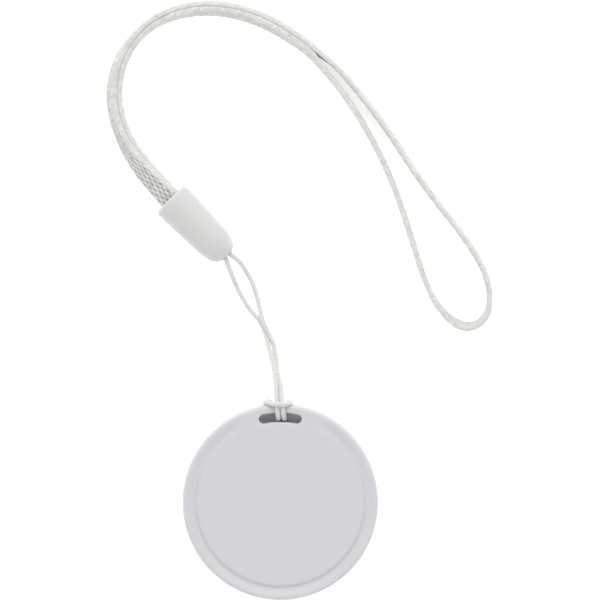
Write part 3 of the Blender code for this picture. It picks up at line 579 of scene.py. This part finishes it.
def make_wrist_strap():
    """The flat braided strap: two legs face to face, then the open wrist loop."""
    ring_step = STRAP_LEAD / STRAP_YARNS / ALONG_SAMPLES
    line, at = spread_evenly(smooth_curve(strap_route(), STRAP_STEP), ring_step)
    roll, together = line[:, 3], np.clip(line[:, 4], 0.0, 1.0)
    line = line[:, :3]
    tangent = unit(np.gradient(line, axis=0))
    left = unit(np.stack([-tangent[:, 1], tangent[:, 0], np.zeros(len(line))], axis=1))
    up = np.cross(tangent, left)
    face = left * np.cos(roll)[:, None] + up * np.sin(roll)[:, None]
    outline, normals = strap_outline(STRAP_YARNS * ROUND_SAMPLES)
    facing = np.clip(-normals[:, 0], 0.0, 1.0)  # 1 on the side that looks at the other leg
    to_contact = STRAP_OFFSET / np.maximum(facing, 0.1) - STRAP_THICKNESS / 2.0
    swell = together[:, None] * np.minimum(to_contact, CORNER_SWELL * facing)[None, :]
    edge = np.abs(normals[:, 1])[None, :]
    piece = braided_tube(
        "wrist_strap_braid", line, at, outline, normals, (face, np.cross(tangent, face)),
        STRAP_YARNS, STRAP_LEAD, STRAP_RELIEF, STRAP_LEVEL, STRAP_FABRIC, SNUG_EDGE * np.sqrt(edge),
        together[:, None] * facing[None, :], swell,
    )
    return piece, line


def rounded_oblong(width, height, count, power=4.0):
    """A closed oblong outline with soft corners."""
    angles = full_turn(count)
    c, s = np.cos(angles), np.sin(angles)
    reach = (np.abs(c) ** power + np.abs(s) ** power) ** (-1.0 / power)
    return np.stack([c * reach * width / 2.0, s * reach * height / 2.0], axis=1)


# The ferrule's half width, and how far that is behind its tip, in millimetres
FERRULE_PROFILE = (
    (1.25, 0.06), (1.78, 0.22), (2.25, 0.47), (2.66, 0.9), (2.96, 1.4), (3.2, 2.05), (3.36, 2.8),
    (3.5, 3.6), (3.63, 5.2), (3.74, 7.6), (3.84, 9.6), (3.93, 11.7), (3.98, 13.6), (4.0, 15.1),
    (3.98, 15.5), (3.9, 15.8), (3.72, 16.0), (3.45, 16.1),
)
# Its two openings from the inside out: a scale of the opening, and a depth in millimetres
OUTLET_STEPS = ((0.9, 4.0), (1.0, 3.9), (1.0, 0.5), (1.04, 0.2), (1.12, 0.06))
POCKET_STEPS = ((0.9, 4.45), (1.0, 4.3), (1.0, 0.4), (1.03, 0.12), (1.1, 0.02))
OUTLET = (2.7 * MM, 1.5 * MM)  # width and height
OUTLET_SHIFT = (0.17 * MM, 0.0)
POCKET = (5.3 * MM, 3.9 * MM)
POCKET_POWER = 6.0  # squarer corners than the outlet's
POCKET_LEAN = math.radians(19.0)
TIP_RADIUS = 0.9775 * MM  # of the ring between outlet and tip,
TIP_SHARE = 0.35  # and how much of the outlet's form is added to it
TIP_DEPTH = 0.01 * MM
FERRULE_STEPS = 96


def make_ferrule():
    """The moulded bullet: outlet for the thin cord, body, lip, and the pocket for the strap."""
    axis = FERRULE_TIP - FERRULE_MOUTH
    length = axis.length
    angles = full_turn(FERRULE_STEPS)
    ellipse = np.stack([np.cos(angles), np.sin(angles) * FERRULE_FLATTEN], axis=1)
    outlet = rounded_oblong(*OUTLET, FERRULE_STEPS) + np.array(OUTLET_SHIFT)
    pocket = rounded_oblong(*POCKET, FERRULE_STEPS, POCKET_POWER)
    c, s = math.cos(POCKET_LEAN), math.sin(POCKET_LEAN)
    pocket = pocket @ np.array([[c, s], [-s, c]])

    sections = [(outlet * scale, length - depth * MM) for scale, depth in OUTLET_STEPS]
    sections += [(outlet * TIP_SHARE + ellipse * TIP_RADIUS, length - TIP_DEPTH)]
    sections += [(ellipse * radius * MM, length - depth * MM) for radius, depth in FERRULE_PROFILE]
    sections += [(pocket * scale, depth * MM) for scale, depth in reversed(POCKET_STEPS)]
    ahead = np.array(axis.normalized())
    aside = np.array((-ahead[1], ahead[0], 0.0))
    above = np.array((0.0, 0.0, 1.0))
    mouth = np.array(FERRULE_MOUTH)
    rings = np.array([
        mouth + ahead * forward + outline[:, :1] * aside + outline[:, 1:] * above
        for outline, forward in sections
    ])
    points, faces = loft(rings[::-1])
    piece = mesh_piece("cord_ferrule_bullet", points, faces, MILKY_PLASTIC)
    smooth = piece.modifiers.new("Smooth", "SUBSURF")
    smooth.levels = 1
    smooth.render_levels = 1
    return piece


def make_lanyard():
    ferrule = make_ferrule()
    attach(ferrule, "tag")
    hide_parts("cord_ferrule")

    cord, cord_line = make_lanyard_cord()
    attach(cord, "tag")
    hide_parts("lanyard_cord")

    strap, strap_line = make_wrist_strap()
    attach(strap, "tag")
    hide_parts("wrist_strap")


make_lanyard()


# ---- front of the case

TURN_STEPS = 720
SLOT_ARC_STEPS = 24
SLOT_END_STEPS = 14
LIP_SHARES = (0.0, 0.06, 0.16, 0.3, 0.48, 0.72, 1.0)  # rings of points on the slot's rounded edge
GROOVE_STEP = 0.085 * MM  # between rings of points through the groove
GROOVE_FROM = INNER_WALL[0] - 0.1 * MM
SEAM_CLEARANCE = 0.06 * MM  # what loose points keep from the seam,
LIP_CLEARANCE = 0.05 * MM  # and from the slot's rounded edge
WEB_STEP = 0.25 * MM  # between rows of points across the flexing web
WEB_FROM = HINGE_START[1] - 0.3 * MM
WEB_TO = HINGE_END[1] + 0.6 * MM
WEB_TO_BELOW = HINGE_END[1] + 0.4 * MM  # where they end on the underside
WEB_REACH = INNER_WALL[0] - 0.4 * MM
WEB_POINTS = 49
SPARSE_RINGS = ((15.5, 120), (14.0, 72), (11.5, 48), (8.0, 36), (4.0, 18))  # radius in mm, and points
SPARSE_TO = HINGE_START[1] - 0.6 * MM
LAND_ROW = 14.9 * MM  # a row of points between the web and the slot
LAND_HALF = 4.5 * MM
LAND_POINTS = 13
RIM_RINGS = 16  # across the rim's upper side
ROUND_RINGS = 12  # round its edge
ROUND_START = 82.0  # degrees from the side, as the edge already slopes where the rounding starts
SHARP_EDGE = math.radians(60.0)


def from_top(angle):
    """The angle between a direction and +Y, where the slot is."""
    return np.abs((angle - np.pi / 2.0 + np.pi) % (2.0 * np.pi) - np.pi)


def seam_radius(angle):
    """Where the face's skin meets the rim's: in the groove, and outside the slot by the slot."""
    out = 1.0 - smoothstep((from_top(angle) - SEAM_OUT) / (SEAM_IN - SEAM_OUT))
    return FACE_RADIUS + (SEAM_RADIUS - FACE_RADIUS) * out


def slot_distance(x, y):
    """How far a point lies outside the slot's outline."""
    turn = np.clip(np.arctan2(x, y), -SLOT_HALF_ANGLE, SLOT_HALF_ANGLE)
    return np.hypot(x - SLOT_RADIUS * np.sin(turn), y - SLOT_RADIUS * np.cos(turn)) - SLOT_WIDTH / 2.0


def front_height(x, y):
    """Height of the tag's upper side: flat face, groove, ring crest and the slot's rounded lip."""
    radius = np.hypot(x, y)
    sunk = smoothstep((from_top(np.arctan2(y, x)) - GROOVE_START) / (GROOVE_FULL - GROOVE_START))
    inner = smoothstep((radius - INNER_WALL[0]) / (INNER_WALL[1] - INNER_WALL[0]))
    outer = 1.0 - smoothstep((radius - OUTER_WALL[0]) / (OUTER_WALL[1] - OUTER_WALL[0]))
    rise = smoothstep((radius - OUTER_WALL[0]) / (CREST_RADIUS - OUTER_WALL[0]))
    height = FACE_TOP + (TAG_HEIGHT - FACE_TOP) * rise - GROOVE_DEPTH * sunk * inner * outer
    edge = np.clip(1.0 - slot_distance(x, y) / LIP, 0.0, 1.0)
    return height - LIP * (1.0 - np.sqrt(1.0 - edge * edge))


def slot_outline(offset):
    """The slot's outline, moved outwards by offset."""
    reach = SLOT_WIDTH / 2.0 + offset
    points = []
    for sign, radius in ((1.0, SLOT_RADIUS + reach), (-1.0, SLOT_RADIUS - reach)):
        for k in range(SLOT_ARC_STEPS + 1):
            turn = math.pi / 2.0 + sign * SLOT_HALF_ANGLE * (2.0 * k / SLOT_ARC_STEPS - 1.0)
            points.append((radius * math.cos(turn), radius * math.sin(turn)))
        end = math.pi / 2.0 + sign * SLOT_HALF_ANGLE
        for k in range(1, SLOT_END_STEPS):
            bend = end + (0.0 if sign > 0 else math.pi) + math.pi * k / SLOT_END_STEPS
            points.append((SLOT_RADIUS * math.cos(end) + reach * math.cos(bend),
                           SLOT_RADIUS * math.sin(end) + reach * math.sin(bend)))
    return points


def triangulated(loops, loose):
    """Triangles over closed loops of points and loose points, with every loop's edges kept."""
    points = [p for loop in loops for p in loop]
    edges = []
    start = 0
    for loop in loops:
        edges += [(start + k, start + (k + 1) % len(loop)) for k in range(len(loop))]
        start += len(loop)
    points += loose
    scaled = [Vector((x / MM, y / MM)) for x, y in points]
    made = geometry.delaunay_2d_cdt(scaled, edges, [], 0, 1e-6)
    if len(made[0]) != len(points):
        raise ValueError("two points of the face fell together")
    original = [sources[0] for sources in made[3]]
    return points, [tuple(original[k] for k in face) for face in made[2]]


def web_rows():
    """Loose points in rows across the flexing web."""
    spots = []
    for row in np.arange(WEB_FROM, WEB_TO, WEB_STEP):
        half = math.sqrt(WEB_REACH**2 - row**2)
        spots += [(x, row) for x in np.linspace(-half, half, WEB_POINTS)]
    return spots


def face_grid():
    """Loose points: rings through the groove, rows across the flexing web, and a few elsewhere."""
    spots = []
    for radius in np.arange(GROOVE_FROM, SEAM_RADIUS, GROOVE_STEP):
        for k in range(TURN_STEPS):
            angle = 2.0 * math.pi * (k + 0.5) / TURN_STEPS
            if radius < seam_radius(angle) - SEAM_CLEARANCE:
                spots.append((radius * math.cos(angle), radius * math.sin(angle)))
    spots += web_rows()
    for radius, count in SPARSE_RINGS:
        for angle in full_turn(count):
            x, y = radius * MM * math.cos(angle), radius * MM * math.sin(angle)
            if y < SPARSE_TO:
                spots.append((x, y))
    spots += [(x, LAND_ROW) for x in np.linspace(-LAND_HALF, LAND_HALF, LAND_POINTS)]
    xy = np.array(spots)
    return [tuple(p) for p in xy[slot_distance(xy[:, 0], xy[:, 1]) > LIP + LIP_CLEARANCE]]


def inside_face(points, face):
    """True if a triangle lies on the face's skin: within its seam, and off the slot."""
    x, y = np.mean([points[k] for k in face], axis=0)
    return np.hypot(x, y) < seam_radius(math.atan2(y, x)) and slot_distance(x, y) > 0.0


def make_face_skin():
    """The pressing face, the land round the slot and the slot's sleeve, in one closed skin."""
    rim = [(seam_radius(a) * math.cos(a), seam_radius(a) * math.sin(a))
           for a in full_turn(TURN_STEPS)]
    lips = [slot_outline(LIP * share) for share in LIP_SHARES]
    flat, triangles = triangulated([rim] + lips, face_grid())
    xy = np.array(flat)
    top = np.column_stack([xy, front_height(xy[:, 0], xy[:, 1])])
    points = [tuple(p) for p in top]
    faces = [face for face in triangles if inside_face(flat, face)]

    rim_ring = list(range(len(rim)))
    slot_ring = list(range(len(rim), len(rim) + len(lips[0])))

    def add_ring(outline, height):
        first = len(points)
        points.extend((x, y, height) for x, y in outline)
        return list(range(first, len(points)))

    def wall(upper, lower, outward):
        for k in range(len(upper)):
            after = (k + 1) % len(upper)
            quad = (upper[k], lower[k], lower[after], upper[after])
            faces.append(quad if outward else tuple(reversed(quad)))

    under = add_ring(rim, SKIN_BOTTOM)
    wall(rim_ring, under, True)
    foot = add_ring(lips[0], SLEEVE_BOTTOM)
    wall(slot_ring, foot, False)
    sleeve = slot_outline(SLEEVE)
    sleeve_foot = add_ring(sleeve, SLEEVE_BOTTOM)
    wall(foot, sleeve_foot, False)
    sleeve_top = add_ring(sleeve, SKIN_BOTTOM)
    wall(sleeve_foot, sleeve_top, False)

    rows = [(x, y) for x, y in web_rows() if y < WEB_TO_BELOW]
    lower, lower_triangles = triangulated([rim, sleeve], rows)
    numbers = under + sleeve_top + add_ring(rows, SKIN_BOTTOM)
    for face in lower_triangles:
        x, y = np.mean([lower[k] for k in face], axis=0)
        within = np.hypot(x, y) < seam_radius(math.atan2(y, x))
        if within and slot_distance(x, y) > SLEEVE:
            faces.append(tuple(numbers[k] for k in reversed(face)))

    piece = mesh_piece("face_skin", points, faces, WHITE_SHELL)
    piece.data.set_sharp_from_angle(angle=SHARP_EDGE)
    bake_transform(piece)
    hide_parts("face_panel")


def make_rim_skin():
    """The raised ring with the groove's outer wall, and the front shell's side down to the parting."""
    angles = full_turn(TURN_STEPS)
    gap = GROOVE_GAP * smoothstep((from_top(angles) - SEAM_IN) / SEAM_GAP_RAMP)
    inner = seam_radius(angles) + gap
    low = PARTING + PARTING_LINE
    rings = []

    def add_ring(radius, height):
        radius = np.broadcast_to(radius, angles.shape)
        height = np.broadcast_to(height, angles.shape)
        rings.append(np.stack([radius * np.cos(angles), radius * np.sin(angles), height], axis=1))

    add_ring(inner, RIM_BOTTOM)
    for share in np.linspace(0.0, 1.0, RIM_RINGS):
        radius = inner + (CREST_RADIUS - inner) * share
        add_ring(radius, front_height(radius * np.cos(angles), radius * np.sin(angles)))
    for turn in np.radians(np.linspace(ROUND_START, 0.0, ROUND_RINGS)):
        add_ring(CREST_RADIUS + RIM_ROUND * math.cos(turn),
                 TAG_HEIGHT - RIM_DROP + RIM_DROP * math.sin(turn))
    add_ring(TAG_RADIUS, SIDE_MIDDLE)
    for inward, up in PARTING_EDGE:
        add_ring(TAG_RADIUS - inward, low + up)
    add_ring(RIM_INSIDE, low)
    add_ring(RIM_INSIDE, RIM_BOTTOM)
    rings = np.array(rings)
    points, faces = loft(rings, capped=False)
    last = (len(rings) - 1) * TURN_STEPS
    for k in range(TURN_STEPS):
        after = (k + 1) % TURN_STEPS
        faces.append((last + k, last + after, after, k))
    piece = mesh_piece("rim_skin", points, [tuple(reversed(f)) for f in faces], WHITE_SHELL)
    piece.data.set_sharp_from_angle(angle=SHARP_EDGE)
    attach(piece, "tag")
    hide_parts("front_shell")


make_face_skin()
make_rim_skin()


# ---- back of the case

BACK_STEPS = 256
CARVED_EDGE = math.radians(35.0)  # sharper edges than this look sharp,
BEVELLED_EDGE = math.radians(50.0)  # and sharper ones than this are rounded
FINE_BEVEL = 0.08 * MM
CASE_BEVEL = 0.1 * MM


def turned(name, profile, look, steps=BACK_STEPS):
    """A closed solid of revolution about Z. Its profile runs down the outer side.

    A profile that starts on the axis ends there too, and any other one closes on its first point.
    """
    on_axis = profile[0][0] == 0.0
    rings = [p for p in profile if p[0] > 0.0]
    angles = full_turn(steps)
    shape = np.array([
        np.stack([r * np.cos(angles), r * np.sin(angles), np.full(steps, z)], axis=1) for r, z in rings
    ])
    points, faces = loft(shape[::-1], capped=on_axis)
    if not on_axis:
        last = (len(rings) - 1) * steps
        faces += [(last + k, last + (k + 1) % steps, (k + 1) % steps, k) for k in range(steps)]
    return mesh_piece(name, points, faces, look)


def carve(piece, cutters, added=(), bevel=0.0):
    """Joins the added shapes to a piece, takes the cutters away from it, and rounds its edges."""
    for shapes, operation in ((added, "UNION"), (cutters, "DIFFERENCE")):
        for shape in shapes:
            change = piece.modifiers.new(shape.name, "BOOLEAN")
            change.operation = operation
            change.solver = "EXACT"
            change.object = shape
    graph = bpy.context.evaluated_depsgraph_get()
    mesh = bpy.data.meshes.new_from_object(piece.evaluated_get(graph))
    piece.modifiers.clear()
    piece.data = mesh
    for shape in (*added, *cutters):
        bpy.data.objects.remove(shape)
    mesh.shade_smooth()
    mesh.set_sharp_from_angle(angle=CARVED_EDGE)
    if bevel:
        rounding = piece.modifiers.new("Rounding", "BEVEL")
        rounding.width = bevel
        rounding.segments = 3
        rounding.limit_method = "ANGLE"
        rounding.angle_limit = BEVELLED_EDGE
        rounding.harden_normals = True


def prism(name, outline, low, high):
    """A solid with a flat outline, from low to high, that another piece is carved with."""
    shape = bmesh.new()
    face = shape.faces.new([shape.verts.new((x, y, low)) for x, y in outline])
    grown = bmesh.ops.extrude_face_region(shape, geom=[face])
    lifted = [item for item in grown["geom"] if isinstance(item, bmesh.types.BMVert)]
    bmesh.ops.translate(shape, verts=lifted, vec=(0.0, 0.0, high - low))
    bmesh.ops.recalc_face_normals(shape, faces=shape.faces)
    mesh = bpy.data.meshes.new(name)
    shape.to_mesh(mesh)
    shape.free()
    solid = bpy.data.objects.new(name, mesh)
    bpy.context.scene.collection.objects.link(solid)
    return solid


def circle(radius, centre=(0.0, 0.0), steps=48):
    return [(centre[0] + radius * math.cos(a), centre[1] + radius * math.sin(a)) for a in full_turn(steps)]


def rectangle(half_x, half_y, centre):
    corners = ((-1, -1), (1, -1), (1, 1), (-1, 1))
    return [(centre[0] + x * half_x, centre[1] + y * half_y) for x, y in corners]


def ring_arc(inner, outer, middle, half, steps=12):
    """Outline of a piece of a flat ring, as wide as two halves of an angle."""
    turns = [middle - half + 2.0 * half * k / steps for k in range(steps + 1)]
    outline = [(outer * math.cos(a), outer * math.sin(a)) for a in turns]
    return outline + [(inner * math.cos(a), inner * math.sin(a)) for a in reversed(turns)]


BACK_EDGE = 2.6 * MM  # radius of the back's rounded edge
BACK_EDGE_RINGS = 18
BACK_WALL = 17.8 * MM
CASE_FLOOR = 1.3 * MM
CUT_UNDER = 1.0 * MM  # how far the cutters reach out of the back

DOOR_SEAT = 13.4 * MM
SEAT_DEPTH = 0.72 * MM
# The seat's rounded edge: how far outside the seat each point is, and how deep
SEAT_EDGE = ((0.15 * MM, 0.0), (0.05 * MM, 0.03 * MM), (0.0, 0.12 * MM))
DOOR_HOLE = 11.3 * MM
DOOR_TURN = math.radians(35.0)
LUG_COUNT = 3
LUG_RADII = (10.6 * MM, 12.1 * MM)
LUG_HALF_ANGLE = math.radians(9.0)
LUG_SPAN = (1.6 * MM, 2.19 * MM)  # heights where it starts and ends
NOTCH_RADII = (11.0 * MM, 12.3 * MM)
NOTCH_HALF_ANGLE = math.radians(12.0)
NOTCH_SPAN = (0.6 * MM, 1.6 * MM)

SADDLE_CENTRE = (0.0, 18.5 * MM)
SADDLE_HALF_SIZES = (4.7 * MM, 3.1 * MM)
SADDLE_DEPTH = 1.5 * MM
SLOT_CUT_TO = 3.0 * MM

SCREW_RADIUS = 15.9 * MM
SCREW_SPOTS = [(SCREW_RADIUS * math.cos(a), SCREW_RADIUS * math.sin(a))
               for a in map(math.radians, (150.0, 270.0, 30.0))]
WELL_RADIUS = 1.5 * MM
WELL_DEPTH = 0.75 * MM
SHANK_HOLE = 0.8 * MM
SHANK_SPAN = (0.5 * MM, 2.0 * MM)


def lug_middle(k):
    """The direction of the door's lug number k. The first one points to the slot."""
    return 2.0 * math.pi * k / LUG_COUNT + math.pi / 2.0


def make_rear_skin():
    """The back of the case, with the door's seat, the screw wells and the saddle for the cord."""
    profile = [(BACK_WALL, PARTING)]
    profile += [(TAG_RADIUS - inward, PARTING - down) for inward, down in reversed(PARTING_EDGE)]
    profile += [(TAG_RADIUS - BACK_EDGE + BACK_EDGE * math.cos(t), BACK_EDGE - BACK_EDGE * math.sin(t))
                for t in np.radians(np.linspace(0.0, 90.0, BACK_EDGE_RINGS))]
    profile += [(DOOR_SEAT + outward, deep) for outward, deep in SEAT_EDGE]
    profile += [(DOOR_SEAT, SEAT_DEPTH), (DOOR_HOLE, SEAT_DEPTH), (DOOR_HOLE, CASE_FLOOR),
                (BACK_WALL, CASE_FLOOR)]
    piece = turned("rear_skin", profile, WHITE_SHELL)
    cutters = [prism("slot_cutter", slot_outline(0.0), -CUT_UNDER, SLOT_CUT_TO)]
    saddle = rectangle(*SADDLE_HALF_SIZES, SADDLE_CENTRE)
    cutters.append(prism("saddle_cutter", saddle, -CUT_UNDER, SADDLE_DEPTH))
    for k in range(LUG_COUNT):
        notch = ring_arc(*NOTCH_RADII, lug_middle(k) + DOOR_TURN, NOTCH_HALF_ANGLE)
        cutters.append(prism(f"notch_cutter_{k}", notch, *NOTCH_SPAN))
    for k, spot in enumerate(SCREW_SPOTS):
        cutters.append(prism(f"well_cutter_{k}", circle(WELL_RADIUS, spot), -CUT_UNDER, WELL_DEPTH))
        cutters.append(prism(f"shank_cutter_{k}", circle(SHANK_HOLE, spot), *SHANK_SPAN))
    carve(piece, cutters, bevel=CASE_BEVEL)
    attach(piece, "tag")
    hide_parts("rear_shell")


DOOR_INSIDE = 1.2 * MM  # heights of the door's inner side, its neck's end, and the plate round it
NECK_END = 2.2 * MM
PLATE_TOP = 0.45 * MM
DOOR_UNDER = 0.1 * MM
NECK_INNER = 10.35 * MM
NECK_OUTER = 11.0 * MM
# The plate's rounded edge from the top: how far inside the door's radius, and how high
PLATE_EDGE = ((0.12 * MM, PLATE_TOP), (0.0, 0.34 * MM), (0.0, 0.22 * MM), (0.04 * MM, 0.14 * MM),
              (0.12 * MM, DOOR_UNDER))
COIN_RADIUS = 11.0 * MM
COIN_HALF_WIDTH = 0.9 * MM
COIN_DROP = 10.25 * MM  # how far below the back the coin's middle is


def make_door_skin():
    """The battery door: plate with a coin slot, neck and three bayonet lugs."""
    profile = [(0.0, DOOR_INSIDE), (NECK_INNER, DOOR_INSIDE), (NECK_INNER, NECK_END),
               (NECK_OUTER, NECK_END), (NECK_OUTER, PLATE_TOP)]
    profile += [(DOOR_RADIUS - inward, height) for inward, height in PLATE_EDGE]
    profile += [(0.0, DOOR_UNDER)]
    piece = turned("door_skin", profile, WHITE_SHELL)
    lugs = [
        prism(f"lug_{k}", ring_arc(*LUG_RADII, lug_middle(k), LUG_HALF_ANGLE), *LUG_SPAN)
        for k in range(LUG_COUNT)
    ]
    coin = prism("coin_cutter", circle(COIN_RADIUS, steps=128), -COIN_HALF_WIDTH, COIN_HALF_WIDTH)
    coin.matrix_world = Matrix.Translation((0.0, 0.0, -COIN_DROP)) @ Matrix.Rotation(math.pi / 2.0, 4, "X")
    bpy.context.view_layer.update()
    carve(piece, [coin], lugs, FINE_BEVEL)
    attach(piece, "door")
    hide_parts("battery_door")


THREAD_RADIUS = 0.58 * MM
THREAD_ROOT = 0.46 * MM
THREAD_TURNS = 9
THREAD_PITCH = 0.45 * MM
THREAD_TOP = 4.8 * MM
THREAD_FLANK = 0.22 * MM
SCREW_POINT = ((0.0, 5.3 * MM), (0.35 * MM, 5.1 * MM))
HEAD_TOP = 0.7 * MM  # where the shank starts
HEAD_PROFILE = ((1.25 * MM, HEAD_TOP), (1.25 * MM, 0.4 * MM), (1.2 * MM, 0.32 * MM),
                (1.05 * MM, 0.24 * MM), (0.8 * MM, 0.21 * MM), (0.0, 0.2 * MM))
CROSS_ARM = (0.65 * MM, 0.15 * MM)  # half its length and half its width
CROSS_DEPTH = 0.45 * MM


def make_screws():
    """Case screws with a pointed, grooved shank, a domed head and a cross recess."""
    profile = list(SCREW_POINT)
    for turn in range(THREAD_TURNS):
        base = THREAD_TOP - turn * THREAD_PITCH
        profile += [(THREAD_RADIUS, base), (THREAD_ROOT, base - THREAD_FLANK)]
    profile += [(THREAD_RADIUS, HEAD_TOP), *HEAD_PROFILE]
    for k, (x, y) in enumerate(SCREW_SPOTS):
        piece = turned(f"case_screw_{k + 1}_steel", profile, STEEL, 48)
        piece.data.transform(Matrix.Translation((x, y, 0.0)))
        recess = [
            prism(f"cross_{k}_{arm}", rectangle(*half_sizes, (x, y)), -CUT_UNDER, CROSS_DEPTH)
            for arm, half_sizes in enumerate((CROSS_ARM, CROSS_ARM[::-1]))
        ]
        carve(piece, recess)
        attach(piece, "tag")
        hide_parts(f"case_screw_{k + 1}")


make_rear_skin()
make_door_skin()
make_screws()


# ---- looks of the CAD nodes that stay

KEPT_LOOKS = (
    (STEEL, ("cell_can", "cell_cap", "positive_contact", "negative_contact", "main_crystal",
             "clock_crystal", "switch_plunger")),
    (BRASS, ("sounder_contact_1", "sounder_contact_2", "sounder_plate")),
    (BLACK_PLASTIC, ("cell_gasket", "battery_cradle", "switch_body")),
    (CHIP_BLACK, ("radio_chip", "memory_chip", "power_inductor")),
    (CERAMIC, ("chip_antenna", "sounder_ceramic")),
    (CAPACITOR_TAN, ("capacitor_1", "capacitor_2", "capacitor_3", "capacitor_4")),
    (BOARD_GREEN, ("main_board",)),
    (GREY_RUBBER, ("door_seal",)),
    (CELL_BLACK, ("cell_core",)),
)

for kept_look, node_names in KEPT_LOOKS:
    for node_name in node_names:
        for material_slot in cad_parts[node_name].material_slots:
            material_slot.material = kept_look


# ---- floor and light

FLOOR_SIZE = 4.0
FLOOR_GLOW = 0.5
SKY_STRENGTH = 0.74
KEY_SIZE = 0.7
KEY_POWER = 4.0
KEY_OFFSET = Vector((-0.02, 0.75))  # from the middle of the model
KEY_HEIGHT = 0.8


def make_floor():
    """A plain white floor that glows a little, but not under the tag, where the slot looks through."""
    mesh = bpy.data.meshes.new("floor")
    half = FLOOR_SIZE / 2.0
    corners = [(x, y, 0.0) for x, y in rectangle(half, half, (0.0, 0.0))]
    mesh.from_pydata(corners, [], [(0, 1, 2, 3)])
    floor = bpy.data.objects.new("floor", mesh)
    bpy.context.scene.collection.objects.link(floor)
    look = Look("floor_paper", Roughness=0.9, Specular_IOR_Level=0.1)
    grain = look.noise(900.0, detail=3.0)
    look.feed(Base_Color=look.mix(grain, (0.88, 0.88, 0.88), (0.91, 0.91, 0.91)))
    reach = look.node("ShaderNodeVectorMath", {0: look.place()}, operation="LENGTH").outputs["Value"]
    look.shader.inputs["Emission Color"].default_value = (1.0, 1.0, 1.0, 1.0)
    look.feed(Emission_Strength=look.between(reach, 0.0, FLOOR_GLOW, 0.9 * TAG_RADIUS, TAG_RADIUS))
    mesh.materials.append(look.material)


def area_light(name, size, power, place, target):
    data = bpy.data.lights.new(name, "AREA")
    data.shape = "DISK"
    data.size = size
    data.energy = power
    light = bpy.data.objects.new(name, data)
    light.location = place
    light.rotation_mode = "QUATERNION"
    light.rotation_quaternion = (Vector(target) - Vector(place)).to_track_quat("-Z", "Y")
    bpy.context.scene.collection.objects.link(light)


def make_light():
    """Even light all round, and a broad soft box from the lanyard's side."""
    world = bpy.data.worlds.new("studio")
    world.use_nodes = True
    background = world.node_tree.nodes["Background"]
    background.inputs["Color"].default_value = (1.0, 1.0, 1.0, 1.0)
    background.inputs["Strength"].default_value = SKY_STRENGTH
    bpy.context.scene.world = world
    middle = (CAD_BOX[0] + CAD_BOX[1]) / 2.0
    place = (middle.x + KEY_OFFSET.x, middle.y + KEY_OFFSET.y, KEY_HEIGHT)
    area_light("key", KEY_SIZE, KEY_POWER, place, middle)
    bpy.context.scene.view_settings.view_transform = "Standard"
    bpy.context.scene.view_settings.look = "None"


make_floor()
make_light()
